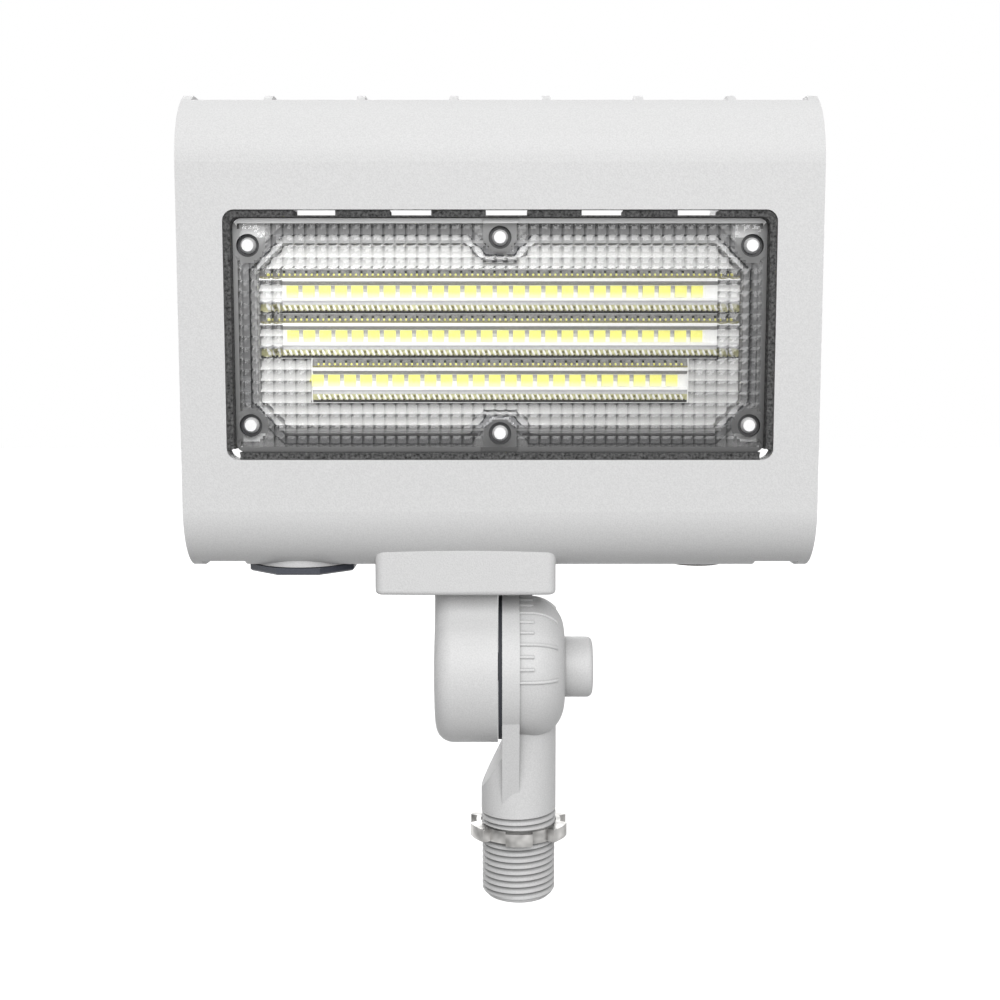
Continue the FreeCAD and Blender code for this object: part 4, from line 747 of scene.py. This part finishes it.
# Port cap and photocell window. The cap is dark blue-grey moulded plastic with a faint satin, and
# the window is smoked plastic.
cap_plastic = grained_material("cap_plastic", (0.04, 0.045, 0.06), (0.06, 0.066, 0.085), roughness=0.4)
dress(cap_plastic, "sensor_port_cap")
smoked = grained_material("smoked_window", (0.05, 0.035, 0.025), (0.08, 0.06, 0.045), roughness=0.2)
dress(smoked, "photocell_window")

# Plated pieces. Zinc on steel, patchy from the bath: the lock nut on the stem, and the pivot bolt
# with its washers inside the knuckle.
zinc = grained_material("zinc", (0.14, 0.138, 0.134), (0.6, 0.59, 0.575),
                        roughness=0.35, metallic=1.0, grains=160, bump=0.02)
dress(zinc, "lock_nut", "pivot_bolt", "flat_washer", "spring_washer")

# Stem thread. The foot of the lower casting has a real pipe thread, cut as a helix and coated over
# in the same white powder, so its grooves are soft. It is a little wider above the nut. Painted shade
# darkens the coat towards the floor of each groove.
thread_pitch = 1.81 * mm
thread_depth = 0.95 * mm
thread_top = 24.0 * mm
thread_bite = 0.3 * mm
tip_radius = 10.4 * mm
tip_chamfer = 1.4 * mm
bore_radius = 7.5 * mm
bore_wall = 1 * mm
stem_radius = 10.67 * mm
nut_low, nut_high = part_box("lock_nut")
turns = 18
turn_steps = 64
turn_gap = 0.02 * mm
groove_height = 12.3 * mm
groove_middle = 0.81
groove_shade_tone = 0.72
crest_shade_tone = 0.92
shaded_part = 0.7
turns_below = 9
thread_sharp = math.radians(50)
start_z = groove_height - (groove_middle + turns_below) * thread_pitch

# One turn of the thread, by its radius and the part of the pitch.
groove = [(tip_radius, 0), (tip_radius, 0.34), (tip_radius - 0.35 * thread_depth, 0.52),
          (tip_radius - thread_depth, 0.76), (tip_radius - thread_depth, 0.84), (tip_radius, 1)]
thread = bmesh.new()
chain = [thread.verts.new((0, -radius, start_z + part * thread_pitch)) for radius, part in groove]
edges = [thread.edges.new(pair) for pair in zip(chain, chain[1:])]
bmesh.ops.spin(thread, geom=chain + edges, cent=(0, 0, 0), axis=(0, 0, 1), angle=2 * math.pi * turns,
               steps=turn_steps * turns, dvec=(0, 0, thread_pitch / turn_steps))
bmesh.ops.remove_doubles(thread, verts=thread.verts, dist=turn_gap)


def cut_level(form, height, keep_above):
    """Cut a form at a height and keep one side."""
    geom = form.verts[:] + form.edges[:] + form.faces[:]
    bmesh.ops.bisect_plane(form, geom=geom, plane_co=(0, 0, height), plane_no=(0, 0, 1),
                           clear_inner=keep_above, clear_outer=not keep_above)


def scale_out(vert, factor):
    """Move a point out from or in to the stem's axis."""
    vert.co.x *= factor
    vert.co.y *= factor


cut_level(thread, -tip_chamfer, True)
cut_level(thread, thread_top + thread_bite, False)
for vert in thread.verts:
    radius = math.hypot(vert.co.x, vert.co.y)
    if vert.co.z > (nut_low.z + nut_high.z) / 2:
        scale_out(vert, stem_radius / tip_radius)
    elif vert.co.z < 0:
        scale_out(vert, min(radius, tip_radius + vert.co.z) / radius)
for level in (-tip_chamfer, thread_top + thread_bite):
    rim = [edge for edge in thread.edges if edge.is_boundary
           and all(abs(vert.co.z - level) < merge_gap for vert in edge.verts)]
    grown = bmesh.ops.extrude_edge_only(thread, edges=rim)["geom"]
    for vert in (item for item in grown if isinstance(item, bmesh.types.BMVert)):
        scale_out(vert, bore_radius / math.hypot(vert.co.x, vert.co.y))
bmesh.ops.bridge_loops(thread, edges=[edge for edge in thread.edges if edge.is_boundary])
bmesh.ops.recalc_face_normals(thread, faces=thread.faces)
for face in thread.faces:
    innermost = min(math.hypot(vert.co.x, vert.co.y) for vert in face.verts)
    face.smooth = True
    face.material_index = int(innermost > bore_radius + bore_wall)
# A copy of the coat with painted shade towards the groove floors.
shaded_thread_coat = white_coat.copy()
shaded_thread_coat.name = "shaded_thread_coat"
coat_tree = shaded_thread_coat.node_tree
parts = place_parts(coat_tree)
squares = [calculate(coat_tree, "MULTIPLY", parts[axis], parts[axis]) for axis in ("X", "Y")]
radius_there = calculate(coat_tree, "SQRT", calculate(coat_tree, "ADD", *squares))
below_tip = calculate(coat_tree, "MINIMUM", parts["Z"], 0)
crest_there = calculate(coat_tree, "SUBTRACT", radius_there, below_tip)
groove_floor = tip_radius - thread_depth
groove_rise = groove_floor + shaded_part * thread_depth
groove_shade = blend_range(coat_tree, crest_there, groove_floor, groove_rise, groove_shade_tone, crest_shade_tone)
lay_over(shaded_thread_coat, 1, groove_shade, "MULTIPLY")
thread_piece = finish_piece("pipe_thread", thread, "arm", "knuckle_arm",
                            [white_coat, shaded_thread_coat])
thread_piece.data.set_sharp_from_angle(angle=thread_sharp)

# Lower casting. The disc, the dome with its angle marks, the boss, the web and the stem keep the
# packed form, cut off where the thread begins.
casting_sharp = math.radians(13)
arm = bmesh.new()
arm.from_mesh(nodes["knuckle_arm"].data)
bmesh.ops.remove_doubles(arm, verts=arm.verts, dist=merge_gap)
cut_level(arm, thread_top, True)
bmesh.ops.bridge_loops(arm, edges=[edge for edge in arm.edges if edge.is_boundary])
for face in arm.faces:
    face.smooth = True
    face.material_index = 0
for edge in arm.edges:
    edge.smooth = True
arm_piece = finish_piece("knuckle_casting", arm, "arm", "knuckle_arm", [white_coat])
drop_packed_normals(arm_piece)
arm_piece.data.set_sharp_from_angle(angle=casting_sharp)
